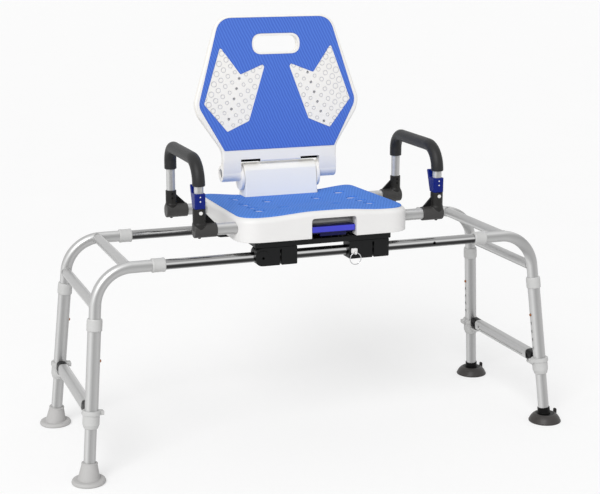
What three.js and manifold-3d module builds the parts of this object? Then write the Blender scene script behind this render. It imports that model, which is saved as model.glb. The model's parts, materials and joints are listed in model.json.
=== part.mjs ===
// A sliding transfer bench for the bath, with a swivel seat, a folding back and two flip-up arms.
// All lengths are in millimetres. +X runs along the rails, +Y points to the back of the seat and
// +Z up. The origin is on the floor, in the middle of the four feet.

import * as THREE from 'three';
import { mergeVertices } from 'three/addons/utils/BufferGeometryUtils.js';
import Module from 'manifold-3d';

const wasm = await Module();
wasm.setup();

// Clearances
const gap = { touch: 0.3, fit: 0.4, turn: 0.8, plug: 2 };
const overrun = 6; // how far a cut runs past the face that it opens
const merging = 0.001; // points of an outline nearer than this are one point

// Heights that follow another piece, each counted up from the piece that carries it
const above = {
  rails: { plate: 34.9 },
  plate: { seatBottom: 3, seatFront: 58.5, seatBack: 51 },
  seatBottom: {
    pocketRoof: 44,
    lever: 8.5,
    leverArm: 3,
    leverArmTop: 11,
    leverPivot: 8,
    leverEars: 2,
    armTubes: 28.4,
  },
  seatBack: { hinge: 46 },
  armTubes: {
    armTop: 148.1,
    grip: 95.6,
    backSocket: 47.1,
    frontSocket: 47.6,
    gusset: 36.6,
    holes: 39.6,
    stud: 22.6,
  },
  frontSocket: { latch: 33, latchTab: 48, latchDots: 26 },
};
// Places along the legs, as shares of the rails' height
const legShares = {
  sleeveBottom: 0.264,
  buttons: 0.5767,
  tubeTop: 0.6457,
  collarMiddle: 0.746,
  lowerCrossbar: 0.8317,
};

// Driving dimensions of the frame
const frame = {
  railHeight: 449.1,
  railHalfSpacing: 150.4,
  cornerHalfLength: 508.3,
  footHalfLength: 547.2,
  footHalfWidth: 189.4,
  tubeDiameter: 25.4,
  tubeWall: 1.2,
  bendRadius: 80,
  jointFromMiddle: 377.2,
  crossbarDiameter: 22.2,
  upperCrossbarFromMiddle: 442,
};
const lowerCrossbarHeight = legShares.lowerCrossbar * frame.railHeight;
const rail = {
  diameter: 22.2,
  wall: 1.5,
  insert: 30,
  pinHole: 7,
  pinStepLeft: -194,
  pinStepRight: 200,
};
const railCollar = { diameter: 31, length: 29 };

// Legs, measured straight up from the floor
const leg = {
  sleeveDiameter: 28.6,
  sleeveWall: 0.9,
  sleeveBottom: legShares.sleeveBottom * frame.railHeight,
  collarMiddle: legShares.collarMiddle * frame.railHeight,
  collarHeight: 26,
  collarDiameter: 33,
  plugDepth: 35,
  tubeDiameter: 25.4,
  tubeWall: 1.2,
  tubeBottom: 12,
  tubeTop: legShares.tubeTop * frame.railHeight,
  buttonHeight: legShares.buttons * frame.railHeight,
  holePitch: 19.8,
  holeCount: 5,
  hole: 7.4,
};
const button = { diameter: 6.4, proud: 2.8, dome: 1 };
const brace = {
  height: 150,
  thick: 24,
  tall: 26,
  corner: 9,
  grooveLength: 230,
  grooveHeight: 10,
  grooveDepth: 3,
};
const clip = {
  diameter: 36,
  bottomDiameter: 30,
  cupHeight: 34,
  taper: 8,
  band: 40,
  bandHeight: 10,
  lugReach: 38,
  lugThick: 4,
  split: 4,
};
const tip = {
  flange: 72.5,
  flangeThick: 9,
  coneBase: 46,
  coneTop: 33,
  height: 43.5,
  rim: 3,
};
const cup = {
  diameter: 76,
  rimHeight: 4,
  domeTop: 40,
  domeHeight: 20,
  neck: 34,
  neckTop: 34,
  hollow: 66,
  hollowDepth: 4,
  tabWide: 12,
  tabThick: 3,
  tabTall: 15,
};

// The carriage that runs on the rails; its lengths along the rails count from the seat's middle
const carriage = {
  park: -7.4,
  plateLeft: -159.6,
  plateRight: 157.4,
  plateHalfDepth: 172,
  plateTop: frame.railHeight + above.rails.plate,
  plateThick: 12,
  corner: 10,
  hubOuter: 168,
  hubInner: 120,
  hubHeight: 12,
  pivot: 40,
};
const slider = {
  leftStart: -159,
  rightStart: 57.1,
  wide: 54.7,
  slot: 4,
  narrow: 35.8,
  frontFromRail: 19.6,
  backFromRail: 18,
  bottomFromRail: 18,
  flange: 5,
  endRadius: 17.5,
  corner: 3,
  boss: 33,
  bossProud: 1.2,
  bossHole: 6,
  bossHoleDepth: 8,
};
const pin = {
  fromMiddle: 67.4,
  diameter: 6,
  tabWide: 13.8,
  tabTall: 12,
  tabThick: 5,
  tabCorner: 3,
  eyeWide: 4,
  eyeDepth: 8.6,
  eyeTall: 7,
  eyeHole: 3.8,
};
const ring = { diameter: 28, wire: 2 };

// The seat, measured from the middle of the carriage; heights from the floor
const seat = {
  frontHeight: carriage.plateTop + above.plate.seatFront,
  backHeight: carriage.plateTop + above.plate.seatBack,
  dish: 8,
  dishStart: -110,
  dishRun: 110,
  dishFlat: 80,
  dishRise: 105,
  crown: 6.5,
  crownFlat: 25,
  crownRise: 115,
  crownRun: 130,
  front: -186,
  back: 160,
  frontHalfWidth: 200,
  backHalfWidth: 194,
  frontCorner: 52,
  backCorner: 30,
  bottom: carriage.plateTop + above.plate.seatBottom,
  edgeRadius: 12,
  wall: 4,
  deck: 3,
};
const pad = {
  frontInset: 10,
  sideInset: 8,
  backInset: 13,
  frontCorner: 46,
  backCorner: 22,
  proud: 2.5,
  recess: 2,
  edge: 1,
  hole: 26,
};
// Places of the drain holes, as shares of the seat's front half-width and of its depth to the front
const drainShares = [
  [0.65, -0.4], [0.65, 0.01], [0.65, 0.31], [0.65, 0.57], [0.3, -0.225], [0.315, 0.4],
];
const pocket = {
  left: -37,
  right: 67,
  roof: seat.bottom + above.seatBottom.pocketRoof,
  depth: 24,
  corner: 8,
  wall: 3,
};
const lever = {
  thick: 18,
  bottom: seat.bottom + above.seatBottom.lever,
  depth: 19,
  fromFront: 4,
  corner: 6,
  arm: 60,
  armBottom: seat.bottom + above.seatBottom.leverArm,
  armTop: seat.bottom + above.seatBottom.leverArmTop,
  pivotFromFront: 60,
  pivotHeight: seat.bottom + above.seatBottom.leverPivot,
  pivotPin: 6,
  ear: 4,
  earWide: 14,
  earBottom: seat.bottom + above.seatBottom.leverEars,
};
const turntable = { diameter: 170, thick: 4, boss: 112, bossWall: 6 };

// The hinge of the back; the block is part of the seat
const hinge = {
  back: 141,
  height: seat.backHeight + above.seatBack.hinge,
  barrel: 39.4,
  barrelEnd: 141,
  endRecess: 23,
  endRecessDepth: 6,
  pin: 12,
  blockHalfWidth: 89,
  blockRadius: 23,
  blockFrontBottom: 110,
  blockFrontTop: 118.5,
  blockShoulder: 7,
  cheek: 54,
  cheekThick: 7,
  cheekDrop: 14,
};
const back = {
  tilt: 6.6,
  front: 23.7,
  thick: 18,
  edge: 4,
  bottom: 24,
  slotBottom: 28.5,
  slotFloor: 2.3,
  slotInner: 52,
  neckHalfWidth: 140,
  waistHalfWidth: 203,
  top: 362,
  corner: 14,
  padRecess: 3,
  padThick: 4,
  handleHeight: 296,
  handleHalfLength: 59,
  handleHalfHeight: 24,
  handleRim: 5,
  windowCorner: 4,
};
// Corners of the back's outline, as shares of its waist's half-width and of its height
const backShares = [
  [0.69, 0.068, 0.6], [0.694, 0.15, 3], [0.961, 0.373, 3], [1, 0.448, 3], [0.685, 1, 3.2],
];
const backPadShares = [
  [0.6675, 0.1475, 0.25], [0.953, 0.436, 2.4], [0.6655, 0.9859, 2.9],
];
const windowShares = [
  [0.671, 0.806], [0.442, 0.629], [0.17, 0.689], [0.151, 0.673],
  [0.3616, 0.331], [0.627, 0.267], [0.889, 0.448],
];

// The arms
const armTubeHeight = seat.bottom + above.seatBottom.armTubes;
const arm = {
  postFromMiddle: 277.1,
  crossHeight: armTubeHeight,
  crossFront: -146,
  crossBack: 81,
  crossTube: 25.4,
  crossWall: 1.5,
  stubInner: 150,
  strap: 20,
  strapThick: 4,
  strapFromMiddle: 160,
  tubeDiameter: 20,
  wall: 1.5,
  top: armTubeHeight + above.armTubes.armTop,
  backBend: 34,
  frontBend: 50,
  grip: 27.5,
  gripBottom: armTubeHeight + above.armTubes.grip,
  knuckle: 31,
  knuckleOuter: 13,
  knuckleInner: 37,
  knuckleWall: 2,
  backSocket: 24.4,
  backSocketTop: armTubeHeight + above.armTubes.backSocket,
  backInsert: 30,
  frontSocket: 28,
  frontSocketTop: armTubeHeight + above.armTubes.frontSocket,
  plug: 8,
  gusset: 8,
  gussetTop: armTubeHeight + above.armTubes.gusset,
  holeDiameter: 4.5,
  holeDepth: 1.2,
  holePitch: 9.5,
  holeTop: armTubeHeight + above.armTubes.holes,
  studDiameter: 8,
  studProud: 1,
  studHeight: armTubeHeight + above.armTubes.stud,
  screw: 6,
  screwProud: 2,
};
const latch = {
  wide: 24,
  front: 12,
  back: 14,
  bodyTop: arm.frontSocketTop + above.frontSocket.latch,
  tabTop: arm.frontSocketTop + above.frontSocket.latchTab,
  tabInner: 17.5,
  tabOuter: 31,
  tabWide: 22,
  corner: 3,
  dot: 3.5,
  dotDepth: 0.8,
  dotPitch: 9.5,
  dotTop: arm.frontSocketTop + above.frontSocket.latchDots,
};

// How finely round things are faceted
const facets = { tube: 12, small: 8, fine: 16, bend: 4, corner: 3, seatCorner: 4, wire: 6 };

// Finishes
function finish(color, roughness, metalness) {
  return new THREE.MeshStandardMaterial({ color, roughness, metalness });
}
const finishes = {
  frame: () => finish(0xbebebe, 0.35, 0.8),
  chrome: () => finish(0xd8d8d8, 0.12, 1),
  paleGrip: () => finish(0xd6d6d6, 0.5, 0),
  tip: () => finish(0xc4c4c4, 0.6, 0),
  cup: () => finish(0x3a3a3a, 0.6, 0),
  copper: () => finish(0xb06a3a, 0.4, 0.6),
  black: () => finish(0x1c1c1c, 0.5, 0),
  white: () => finish(0xf0f0f2, 0.35, 0),
  blue: () => finish(0x4e76d6, 0.7, 0),
  seatBlue: () => finish(0x5680dc, 0.7, 0),
  navy: () => finish(0x001982, 0.4, 0),
  violet: () => finish(0x3c32c8, 0.35, 0),
  grip: () => finish(0x4b4b4c, 0.8, 0),
  socket: () => finish(0x464648, 0.55, 0),
  steel: () => finish(0xc0c0c0, 0.25, 1),
};

// Closed meshes to solids and back
function signedVolume(position, index) {
  const [a, b, c] = [new THREE.Vector3(), new THREE.Vector3(), new THREE.Vector3()];
  let sum = 0;
  for (let i = 0; i < index.count; i += 3) {
    a.fromBufferAttribute(position, index.getX(i));
    b.fromBufferAttribute(position, index.getX(i + 1));
    c.fromBufferAttribute(position, index.getX(i + 2));
    sum += a.dot(b.cross(c));
  }
  return sum / 6;
}

function solid(source) {
  const bare = source.clone();
  bare.deleteAttribute('normal');
  bare.deleteAttribute('uv');
  const merged = mergeVertices(bare);
  const index = merged.index;
  const triVerts = new Uint32Array(index.array);
  if (signedVolume(merged.attributes.position, index) < 0) {
    for (let i = 0; i < triVerts.length; i += 3) {
      [triVerts[i + 1], triVerts[i + 2]] = [triVerts[i + 2], triVerts[i + 1]];
    }
  }
  const vertProperties = new Float32Array(merged.attributes.position.array);
  return new wasm.Manifold(new wasm.Mesh({ numProp: 3, vertProperties, triVerts }));
}

function geometry(body) {
  const mesh = body.getMesh();
  const made = new THREE.BufferGeometry();
  const stride = mesh.numProp;
  const places = new Float32Array((mesh.vertProperties.length / stride) * 3);
  for (let i = 0; i < places.length / 3; i += 1) {
    for (let k = 0; k < 3; k += 1) {
      places[i * 3 + k] = mesh.vertProperties[i * stride + k];
    }
  }
  made.setAttribute('position', new THREE.BufferAttribute(places, 3));
  made.setIndex(new THREE.BufferAttribute(new Uint32Array(mesh.triVerts), 1));
  return made;
}

function add(parent, name, body, material) {
  const mesh = new THREE.Mesh(geometry(body), material);
  mesh.name = name;
  parent.add(mesh);
  return mesh;
}

const join = (...bodies) => bodies.reduce((sum, body) => sum.add(body));
const cut = (body, ...tools) => tools.reduce((left, tool) => left.subtract(tool), body);

// Plain shapes; each function returns a solid
function box(low, high) {
  const size = new THREE.Vector3(...high).sub(new THREE.Vector3(...low));
  const middle = new THREE.Vector3(...low).addScaledVector(size, 0.5);
  return solid(new THREE.BoxGeometry(size.x, size.y, size.z).translate(...middle));
}

// A profile of [radius, height] points turned about Z; it closes on itself
function turnedGeometry(profile, sides = facets.tube) {
  const closed = [...profile, profile[0]].map(([r, z]) => new THREE.Vector2(r, z));
  return new THREE.LatheGeometry(closed, sides).rotateX(Math.PI / 2);
}
const turned = (profile, sides) => solid(turnedGeometry(profile, sides));

const disc = (radius, bottom, top, sides) =>
  turned([[0, bottom], [radius, bottom], [radius, top], [0, top]], sides);
const pipe = (inner, outer, bottom, top, sides) =>
  turned([[inner, bottom], [outer, bottom], [outer, top], [inner, top]], sides);

// Round bars along X and Y
function barX(radius, from, to, y, z, sides = facets.tube) {
  const bar = turnedGeometry([[0, from], [radius, from], [radius, to], [0, to]], sides);
  return solid(bar.rotateY(Math.PI / 2).translate(0, y, z));
}
function barY(radius, from, to, x, z, sides = facets.tube) {
  const bar = turnedGeometry([[0, from], [radius, from], [radius, to], [0, to]], sides);
  return solid(bar.rotateX(-Math.PI / 2).translate(x, 0, z));
}
function pipeX(inner, outer, from, to, y, z, sides = facets.tube) {
  const bar = turnedGeometry([[inner, from], [outer, from], [outer, to], [inner, to]], sides);
  return solid(bar.rotateY(Math.PI / 2).translate(0, y, z));
}

// Corners [x, y, radius] joined by straight lines, with each corner rounded
function rounded(corners, steps = facets.corner) {
  const points = [];
  corners.forEach(([x, y, radius], i) => {
    const here = new THREE.Vector2(x, y);
    const [px, py] = corners[(i + corners.length - 1) % corners.length];
    const [nx, ny] = corners[(i + 1) % corners.length];
    const toPrevious = new THREE.Vector2(px, py).sub(here);
    const toNext = new THREE.Vector2(nx, ny).sub(here);
    const turn = Math.PI - toPrevious.angleTo(toNext);
    const room = Math.min(toPrevious.length(), toNext.length()) / 2;
    const reach = Math.min(radius * Math.tan(turn / 2), room);
    if (reach < merging) {
      points.push(here);
      return;
    }
    const start = here.clone().addScaledVector(toPrevious.normalize(), reach);
    const end = here.clone().addScaledVector(toNext.normalize(), reach);
    for (let k = 0; k <= steps; k += 1) {
      const t = k / steps;
      const first = start.clone().lerp(here, t);
      points.push(first.lerp(here.clone().lerp(end, t), t));
    }
  });
  const far = (p, i) => p.distanceTo(points[(i + points.length - 1) % points.length]) > merging;
  return points.filter(far);
}

const rectangle = (left, right, low, high, radius) => [
  [left, low, radius], [right, low, radius], [right, high, radius], [left, high, radius],
];

// An outline extruded along Z from bottom to top, with rounded rims where bevel is given
function slab(points, bottom, top, holes = [], bevel = 0) {
  const shape = new THREE.Shape(points);
  shape.holes = holes.map((hole) => new THREE.Path(hole));
  const made = new THREE.ExtrudeGeometry(shape, {
    depth: top - bottom - 2 * bevel,
    bevelEnabled: bevel > 0,
    bevelThickness: bevel,
    bevelSize: bevel,
    bevelOffset: -bevel,
    bevelSegments: 2,
  });
  return solid(made.translate(0, 0, bottom + bevel));
}

// An outline in X and Z extruded along Y, and an outline in Y and Z extruded along X
function slabY(points, from, to) {
  const shape = new THREE.Shape(points);
  const made = new THREE.ExtrudeGeometry(shape, { depth: to - from, bevelEnabled: false });
  return solid(made.rotateX(Math.PI / 2).translate(0, to, 0));
}
function slabX(points, from, to) {
  const shape = new THREE.Shape(points);
  const made = new THREE.ExtrudeGeometry(shape, { depth: to - from, bevelEnabled: false });
  return solid(made.rotateX(Math.PI / 2).rotateZ(Math.PI / 2).translate(from, 0, 0));
}

// A route of straight runs joined by round bends, sampled only where it bends
class BentRoute extends THREE.Curve {
  constructor(corners, radii) {
    super();
    this.places = [corners[0].clone()];
    this.ways = [corners[1].clone().sub(corners[0]).normalize()];
    for (let i = 1; i < corners.length - 1; i += 1) {
      const into = corners[i].clone().sub(corners[i - 1]).normalize();
      const out = corners[i + 1].clone().sub(corners[i]).normalize();
      const turn = into.angleTo(out);
      const radius = radii[i - 1];
      const start = corners[i].clone().addScaledVector(into, -radius * Math.tan(turn / 2));
      const inward = out.clone().sub(into).normalize();
      const side = inward.addScaledVector(into, -inward.dot(into)).normalize();
      for (let k = 0; k <= facets.bend; k += 1) {
        const angle = (turn * k) / facets.bend;
        const along = radius * Math.sin(angle);
        const across = radius * (1 - Math.cos(angle));
        this.places.push(start.clone().addScaledVector(into, along).addScaledVector(side, across));
        const way = into.clone().multiplyScalar(Math.cos(angle));
        this.ways.push(way.addScaledVector(side, Math.sin(angle)));
      }
    }
    this.places.push(corners.at(-1).clone());
    this.ways.push(corners.at(-1).clone().sub(corners.at(-2)).normalize());
    this.steps = this.places.length - 1;
  }

  getPointAt(u) {
    return this.places[Math.round(u * this.steps)].clone();
  }

  getTangentAt(u) {
    return this.ways[Math.round(u * this.steps)].clone();
  }
}

function circle(radius, sides) {
  const points = [];
  for (let i = 0; i < sides; i += 1) {
    const angle = (2 * Math.PI * i) / sides;
    points.push(new THREE.Vector2(radius * Math.cos(angle), radius * Math.sin(angle)));
  }
  return points;
}

function bentTube(corners, radii, outer, inner, sides = facets.tube) {
  const route = new BentRoute(corners, radii);
  const shape = new THREE.Shape(circle(outer, sides));
  shape.holes = [new THREE.Path(circle(inner, sides))];
  return solid(new THREE.ExtrudeGeometry(shape, { steps: route.steps, extrudePath: route }));
}

// Closed skin over rings of points that lie above one another, each capped at its middle
function skin(rings) {
  const count = rings[0].length;
  const places = rings.flat().flatMap((p) => [p.x, p.y, p.z]);
  const index = [];
  for (let r = 0; r < rings.length - 1; r += 1) {
    for (let i = 0; i < count; i += 1) {
      const j = (i + 1) % count;
      const [a, b, c, d] = [r * count + i, r * count + j, (r + 1) * count + i, (r + 1) * count + j];
      index.push(a, b, d, a, d, c);
    }
  }
  for (const r of [0, rings.length - 1]) {
    const middle = new THREE.Vector3();
    rings[r].forEach((p) => middle.addScaledVector(p, 1 / count));
    const tipIndex = places.length / 3;
    places.push(middle.x, middle.y, middle.z);
    for (let i = 0; i < count; i += 1) {
      const [a, b] = [r * count + i, r * count + ((i + 1) % count)];
      index.push(...(r === 0 ? [b, a, tipIndex] : [a, b, tipIndex]));
    }
  }
  const made = new THREE.BufferGeometry();
  made.setAttribute('position', new THREE.Float32BufferAttribute(places, 3));
  made.setIndex(index);
  return solid(made);
}

const smooth = (value) => {
  const t = Math.min(Math.max(value, 0), 1);
  return t * t * (3 - 2 * t);
};

const bench = new THREE.Group();
const sides = [['left', -1], ['right', 1]];
const depths = [['front', -1], ['rear', 1]];

// End frames: two bent tubes welded to an upper and a lower crossbar
const legRise = new THREE.Vector3(
  frame.footHalfLength - frame.cornerHalfLength,
  frame.footHalfWidth - frame.railHalfSpacing,
  frame.railHeight,
);
const legStretch = legRise.length() / frame.railHeight;
const alongLeg = (height) => height * legStretch;
const legFoot = (sx, sy) => new THREE.Vector3(sx * frame.footHalfLength, sy * frame.footHalfWidth, 0);
const legWay = (sx, sy) => new THREE.Vector3(-sx * legRise.x, -sy * legRise.y, legRise.z).normalize();
const legPoint = (sx, sy, height) => legFoot(sx, sy).addScaledVector(legWay(sx, sy), alongLeg(height));
const sleeveTop = leg.collarMiddle + leg.collarHeight / 6;

function endTube(sx, sy) {
  const corners = [
    new THREE.Vector3(sx * frame.jointFromMiddle, sy * frame.railHalfSpacing, frame.railHeight),
    new THREE.Vector3(sx * frame.cornerHalfLength, sy * frame.railHalfSpacing, frame.railHeight),
    legPoint(sx, sy, sleeveTop - leg.plugDepth),
  ];
  const outer = frame.tubeDiameter / 2;
  return bentTube(corners, [frame.bendRadius], outer, outer - frame.tubeWall);
}

for (const [side, sx] of sides) {
  const lower = legPoint(sx, 1, lowerCrossbarHeight);
  const upperHalf = frame.railHalfSpacing - frame.tubeDiameter / 2 + frame.tubeWall / 2;
  const lowerHalf = lower.y - frame.tubeDiameter / 2 + frame.tubeWall / 2;
  const upperX = sx * frame.upperCrossbarFromMiddle;
  add(bench, `end_frame_${side}`, join(
    endTube(sx, -1),
    endTube(sx, 1),
    barY(frame.crossbarDiameter / 2, -upperHalf, upperHalf, upperX, frame.railHeight),
    barY(frame.crossbarDiameter / 2, -lowerHalf, lowerHalf, lower.x, lowerCrossbarHeight),
  ), finishes.frame());
}

// Rails, plugged into the end frames, and the collars over their joints
const railHalfLength = frame.jointFromMiddle + rail.insert;
for (const [depth, sy] of depths) {
  const y = sy * frame.railHalfSpacing;
  let body = pipeX(rail.diameter / 2 - rail.wall, rail.diameter / 2,
    -railHalfLength, railHalfLength, y, frame.railHeight);
  if (sy < 0) {
    for (const step of [rail.pinStepLeft, 0, rail.pinStepRight]) {
      const x = carriage.park + pin.fromMiddle + step;
      body = cut(body, barY(rail.pinHole / 2, y - rail.diameter / 2 - overrun, y, x,
        frame.railHeight, facets.small));
    }
  }
  add(bench, `rail_${depth}`, body, finishes.chrome());
  for (const [side, sx] of sides) {
    const half = railCollar.length / 2;
    const [outer, onTube, onRail] = [
      railCollar.diameter / 2, frame.tubeDiameter / 2 + gap.fit, rail.diameter / 2 + gap.fit,
    ];
    const step = -gap.touch;
    const ringShape = turnedGeometry([
      [onRail, -half], [outer, -half], [outer, half], [onTube, half], [onTube, step],
      [onRail, step],
    ]);
    ringShape.rotateY((sx * Math.PI) / 2).translate(sx * frame.jointFromMiddle, y, frame.railHeight);
    add(bench, `rail_collar_${depth}_${side}`, solid(ringShape), finishes.paleGrip());
  }
}

// Legs: each has its own group, with Z up the leg and X towards the middle of the bench
const buttonInner = leg.tubeDiameter / 2 + gap.touch;
const buttonOuter = leg.sleeveDiameter / 2 + button.proud;

function legGroup(sx, sy) {
  const up = legWay(sx, sy);
  const inward = new THREE.Vector3(0, sx, 0).cross(up).multiplyScalar(-1).normalize();
  if (inward.x * sx > 0) inward.negate();
  const across = up.clone().cross(inward);
  const group = new THREE.Group();
  group.position.copy(legFoot(sx, sy));
  group.quaternion.setFromRotationMatrix(new THREE.Matrix4().makeBasis(inward, across, up));
  return group;
}

// A round bar along X in a leg's group
const legBar = (radius, from, to, height, count) =>
  barX(radius, from, to, 0, alongLeg(height), count);

function sleeve() {
  const outer = leg.sleeveDiameter / 2;
  let body = pipe(outer - leg.sleeveWall, outer, alongLeg(leg.sleeveBottom), alongLeg(sleeveTop));
  for (let i = 0; i < leg.holeCount; i += 1) {
    const height = leg.buttonHeight - i * leg.holePitch;
    body = cut(body, legBar(leg.hole / 2, 0, outer + overrun, height, facets.small));
  }
  return body;
}

function legTube() {
  const outer = leg.tubeDiameter / 2;
  const body = pipe(outer - leg.tubeWall, outer, alongLeg(leg.tubeBottom), alongLeg(leg.tubeTop));
  return cut(body, legBar(leg.hole / 2, 0, outer + overrun, leg.buttonHeight, facets.small));
}

function sleeveCollar() {
  const outer = leg.collarDiameter / 2;
  const half = leg.collarHeight / 2;
  const [bottom, top] = [leg.collarMiddle - half, leg.collarMiddle + half].map(alongLeg);
  const step = alongLeg(sleeveTop) + gap.touch;
  const onSleeve = leg.sleeveDiameter / 2 + gap.touch;
  const onTube = frame.tubeDiameter / 2 + gap.fit;
  return turned([
    [onSleeve, bottom], [outer, bottom], [outer, top], [onTube, top], [onTube, step],
    [onSleeve, step],
  ]);
}

function braceClip(sx, sy) {
  const cupTop = alongLeg(brace.height);
  const cupBottom = cupTop - clip.cupHeight;
  const onTube = leg.tubeDiameter / 2 + gap.fit;
  const onSleeve = leg.sleeveDiameter / 2 + gap.touch;
  const step = alongLeg(leg.sleeveBottom) - gap.touch;
  const [bandBottom, bandTop] = [cupTop - clip.bandHeight / 2, cupTop + clip.bandHeight / 2];
  const cupBody = turned([
    [onTube, cupBottom], [clip.bottomDiameter / 2, cupBottom],
    [clip.diameter / 2, cupBottom + clip.taper], [clip.diameter / 2, bandBottom],
    [clip.band / 2, bandBottom], [clip.band / 2, bandTop], [onSleeve, bandTop],
    [onSleeve, step], [onTube, step],
  ]);
  const lean = Math.asin(legRise.y / legRise.length());
  const lugTop = -brace.tall / 2 - gap.touch;
  const [lugStart, lugEnd] = [leg.sleeveDiameter / 4, leg.sleeveDiameter / 2 + clip.lugReach];
  const lug = new THREE.BoxGeometry(brace.thick, lugEnd - lugStart, clip.lugThick)
    .translate(0, (lugStart + lugEnd) / 2, lugTop - clip.lugThick / 2)
    .rotateX(lean)
    .rotateZ(sx * sy > 0 ? 0 : Math.PI)
    .translate(0, 0, cupTop);
  const reach = clip.band / 2 + overrun;
  const split = box([-reach, -clip.split / 2, bandBottom], [-leg.sleeveDiameter / 2, clip.split / 2,
    bandTop + overrun]);
  return cut(join(cupBody, solid(lug)), split,
    disc(onSleeve, step, bandTop + overrun), disc(onTube, cupBottom - overrun, bandTop));
}

function snapButton() {
  const rim = button.diameter / 2;
  const stub = new THREE.LatheGeometry([
    new THREE.Vector2(0, buttonInner), new THREE.Vector2(rim, buttonInner),
    new THREE.Vector2(rim, buttonOuter - button.dome), new THREE.Vector2(rim - button.dome, buttonOuter),
    new THREE.Vector2(0, buttonOuter),
  ], facets.small);
  return solid(stub.rotateZ(-Math.PI / 2).translate(0, 0, alongLeg(leg.buttonHeight)));
}

// Feet stand level on the floor, and their necks follow the leg
function leaning(profile, sx, sy, count) {
  const up = new THREE.Vector3(0, 0, 1);
  const turn = new THREE.Quaternion().setFromUnitVectors(up, legWay(sx, sy));
  return solid(turnedGeometry(profile, count).applyQuaternion(turn));
}

function legSocket(sx, sy) {
  const radius = leg.tubeDiameter / 2 + gap.touch;
  const bottom = alongLeg(leg.tubeBottom) - gap.touch;
  const top = alongLeg(tip.height) + overrun;
  return leaning([[0, bottom], [radius, bottom], [radius, top], [0, top]], sx, sy);
}

function flangedTip(sx, sy) {
  const flange = turned([
    [0, 0], [tip.flange / 2 - tip.rim, 0], [tip.flange / 2, tip.rim],
    [tip.flange / 2, tip.flangeThick - tip.rim], [tip.flange / 2 - tip.rim, tip.flangeThick],
    [0, tip.flangeThick],
  ], facets.fine);
  const coneBottom = alongLeg(tip.flangeThick / 2);
  const coneTop = alongLeg(tip.height);
  const cone = leaning([
    [0, coneBottom], [tip.coneBase / 2, coneBottom], [tip.coneTop / 2, coneTop - tip.rim],
    [tip.coneTop / 2, coneTop], [0, coneTop],
  ], sx, sy);
  return cut(join(flange, cone), legSocket(sx, sy));
}

function suctionCup(sx, sy) {
  const dome = turned([
    [0, cup.hollowDepth], [cup.neck / 4, cup.hollowDepth], [cup.hollow / 2, 0],
    [cup.diameter / 2, 0], [cup.diameter / 2, cup.rimHeight],
    [cup.domeTop / 2, cup.domeHeight], [0, cup.domeHeight],
  ], facets.fine);
  const neckTop = alongLeg(cup.neckTop);
  const neckBottom = alongLeg(cup.domeHeight / 2);
  const neck = leaning([
    [0, neckBottom], [cup.neck / 2, neckBottom], [cup.neck / 2, neckTop], [0, neckTop],
  ], sx, sy);
  const tabInner = cup.diameter / 2 - cup.tabThick;
  const tab = new THREE.BoxGeometry(cup.tabThick, cup.tabWide, cup.tabTall)
    .translate(tabInner + cup.tabThick / 2, 0, cup.tabTall / 2)
    .rotateZ(Math.PI / 4);
  return cut(join(dome, neck, solid(tab)), legSocket(sx, sy));
}

for (const [side, sx] of sides) {
  for (const [depth, sy] of depths) {
    const group = legGroup(sx, sy);
    const place = `${depth}_${side}`;
    add(group, `leg_sleeve_${place}`, sleeve(), finishes.frame());
    add(group, `sleeve_collar_${place}`, sleeveCollar(), finishes.paleGrip());
    add(group, `brace_clip_${place}`, braceClip(sx, sy), finishes.paleGrip());
    add(group, `leg_tube_${place}`, legTube(), finishes.frame());
    add(group, `snap_button_${place}`, snapButton(), finishes.copper());
    bench.add(group);
    const stand = new THREE.Group();
    stand.position.copy(legFoot(sx, sy));
    const foot = sx < 0 ? flangedTip(sx, sy) : suctionCup(sx, sy);
    add(stand, `foot_${place}`, foot, sx < 0 ? finishes.tip() : finishes.cup());
    bench.add(stand);
  }
}

// Braces between the front and rear legs, in the plane of the legs
for (const [side, sx] of sides) {
  const middle = legPoint(sx, 1, brace.height);
  const half = middle.y - clip.band / 2 - gap.touch;
  const profile = rounded(rectangle(-brace.thick / 2, brace.thick / 2, -brace.tall / 2,
    brace.tall / 2, brace.corner));
  const grooveEnd = brace.grooveLength / 2 - brace.grooveHeight / 2;
  const faceX = (-sx * brace.thick) / 2;
  const [grooveFrom, grooveTo] = [faceX - brace.grooveDepth, faceX + brace.grooveDepth];
  const groove = join(
    box([grooveFrom, -grooveEnd, -brace.grooveHeight / 2], [grooveTo, grooveEnd,
      brace.grooveHeight / 2]),
    barX(brace.grooveHeight / 2, grooveFrom, grooveTo, grooveEnd, 0, facets.small),
    barX(brace.grooveHeight / 2, grooveFrom, grooveTo, -grooveEnd, 0, facets.small),
  );
  const group = new THREE.Group();
  group.position.set(middle.x, 0, middle.z);
  group.rotation.y = -sx * Math.atan(legRise.x / legRise.z);
  add(group, `leg_brace_${side}`, cut(slabY(profile, -half, half), groove), finishes.frame());
  bench.add(group);
}

// The carriage's own group sits at the middle of the seat
const moving = new THREE.Group();
moving.position.x = carriage.park;
bench.add(moving);

const plateBottom = carriage.plateTop - carriage.plateThick;
const hubTop = carriage.plateTop + carriage.hubHeight;

add(moving, 'carriage_base', cut(
  join(
    slab(rounded(rectangle(carriage.plateLeft, carriage.plateRight, -carriage.plateHalfDepth,
      carriage.plateHalfDepth, carriage.corner)), plateBottom, carriage.plateTop),
    pipe(carriage.hubInner / 2, carriage.hubOuter / 2, carriage.plateTop - carriage.plateThick / 2,
      hubTop, facets.fine),
  ),
  disc(carriage.pivot / 2 + gap.turn, plateBottom - overrun, hubTop + overrun, facets.fine),
), finishes.black());

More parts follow.
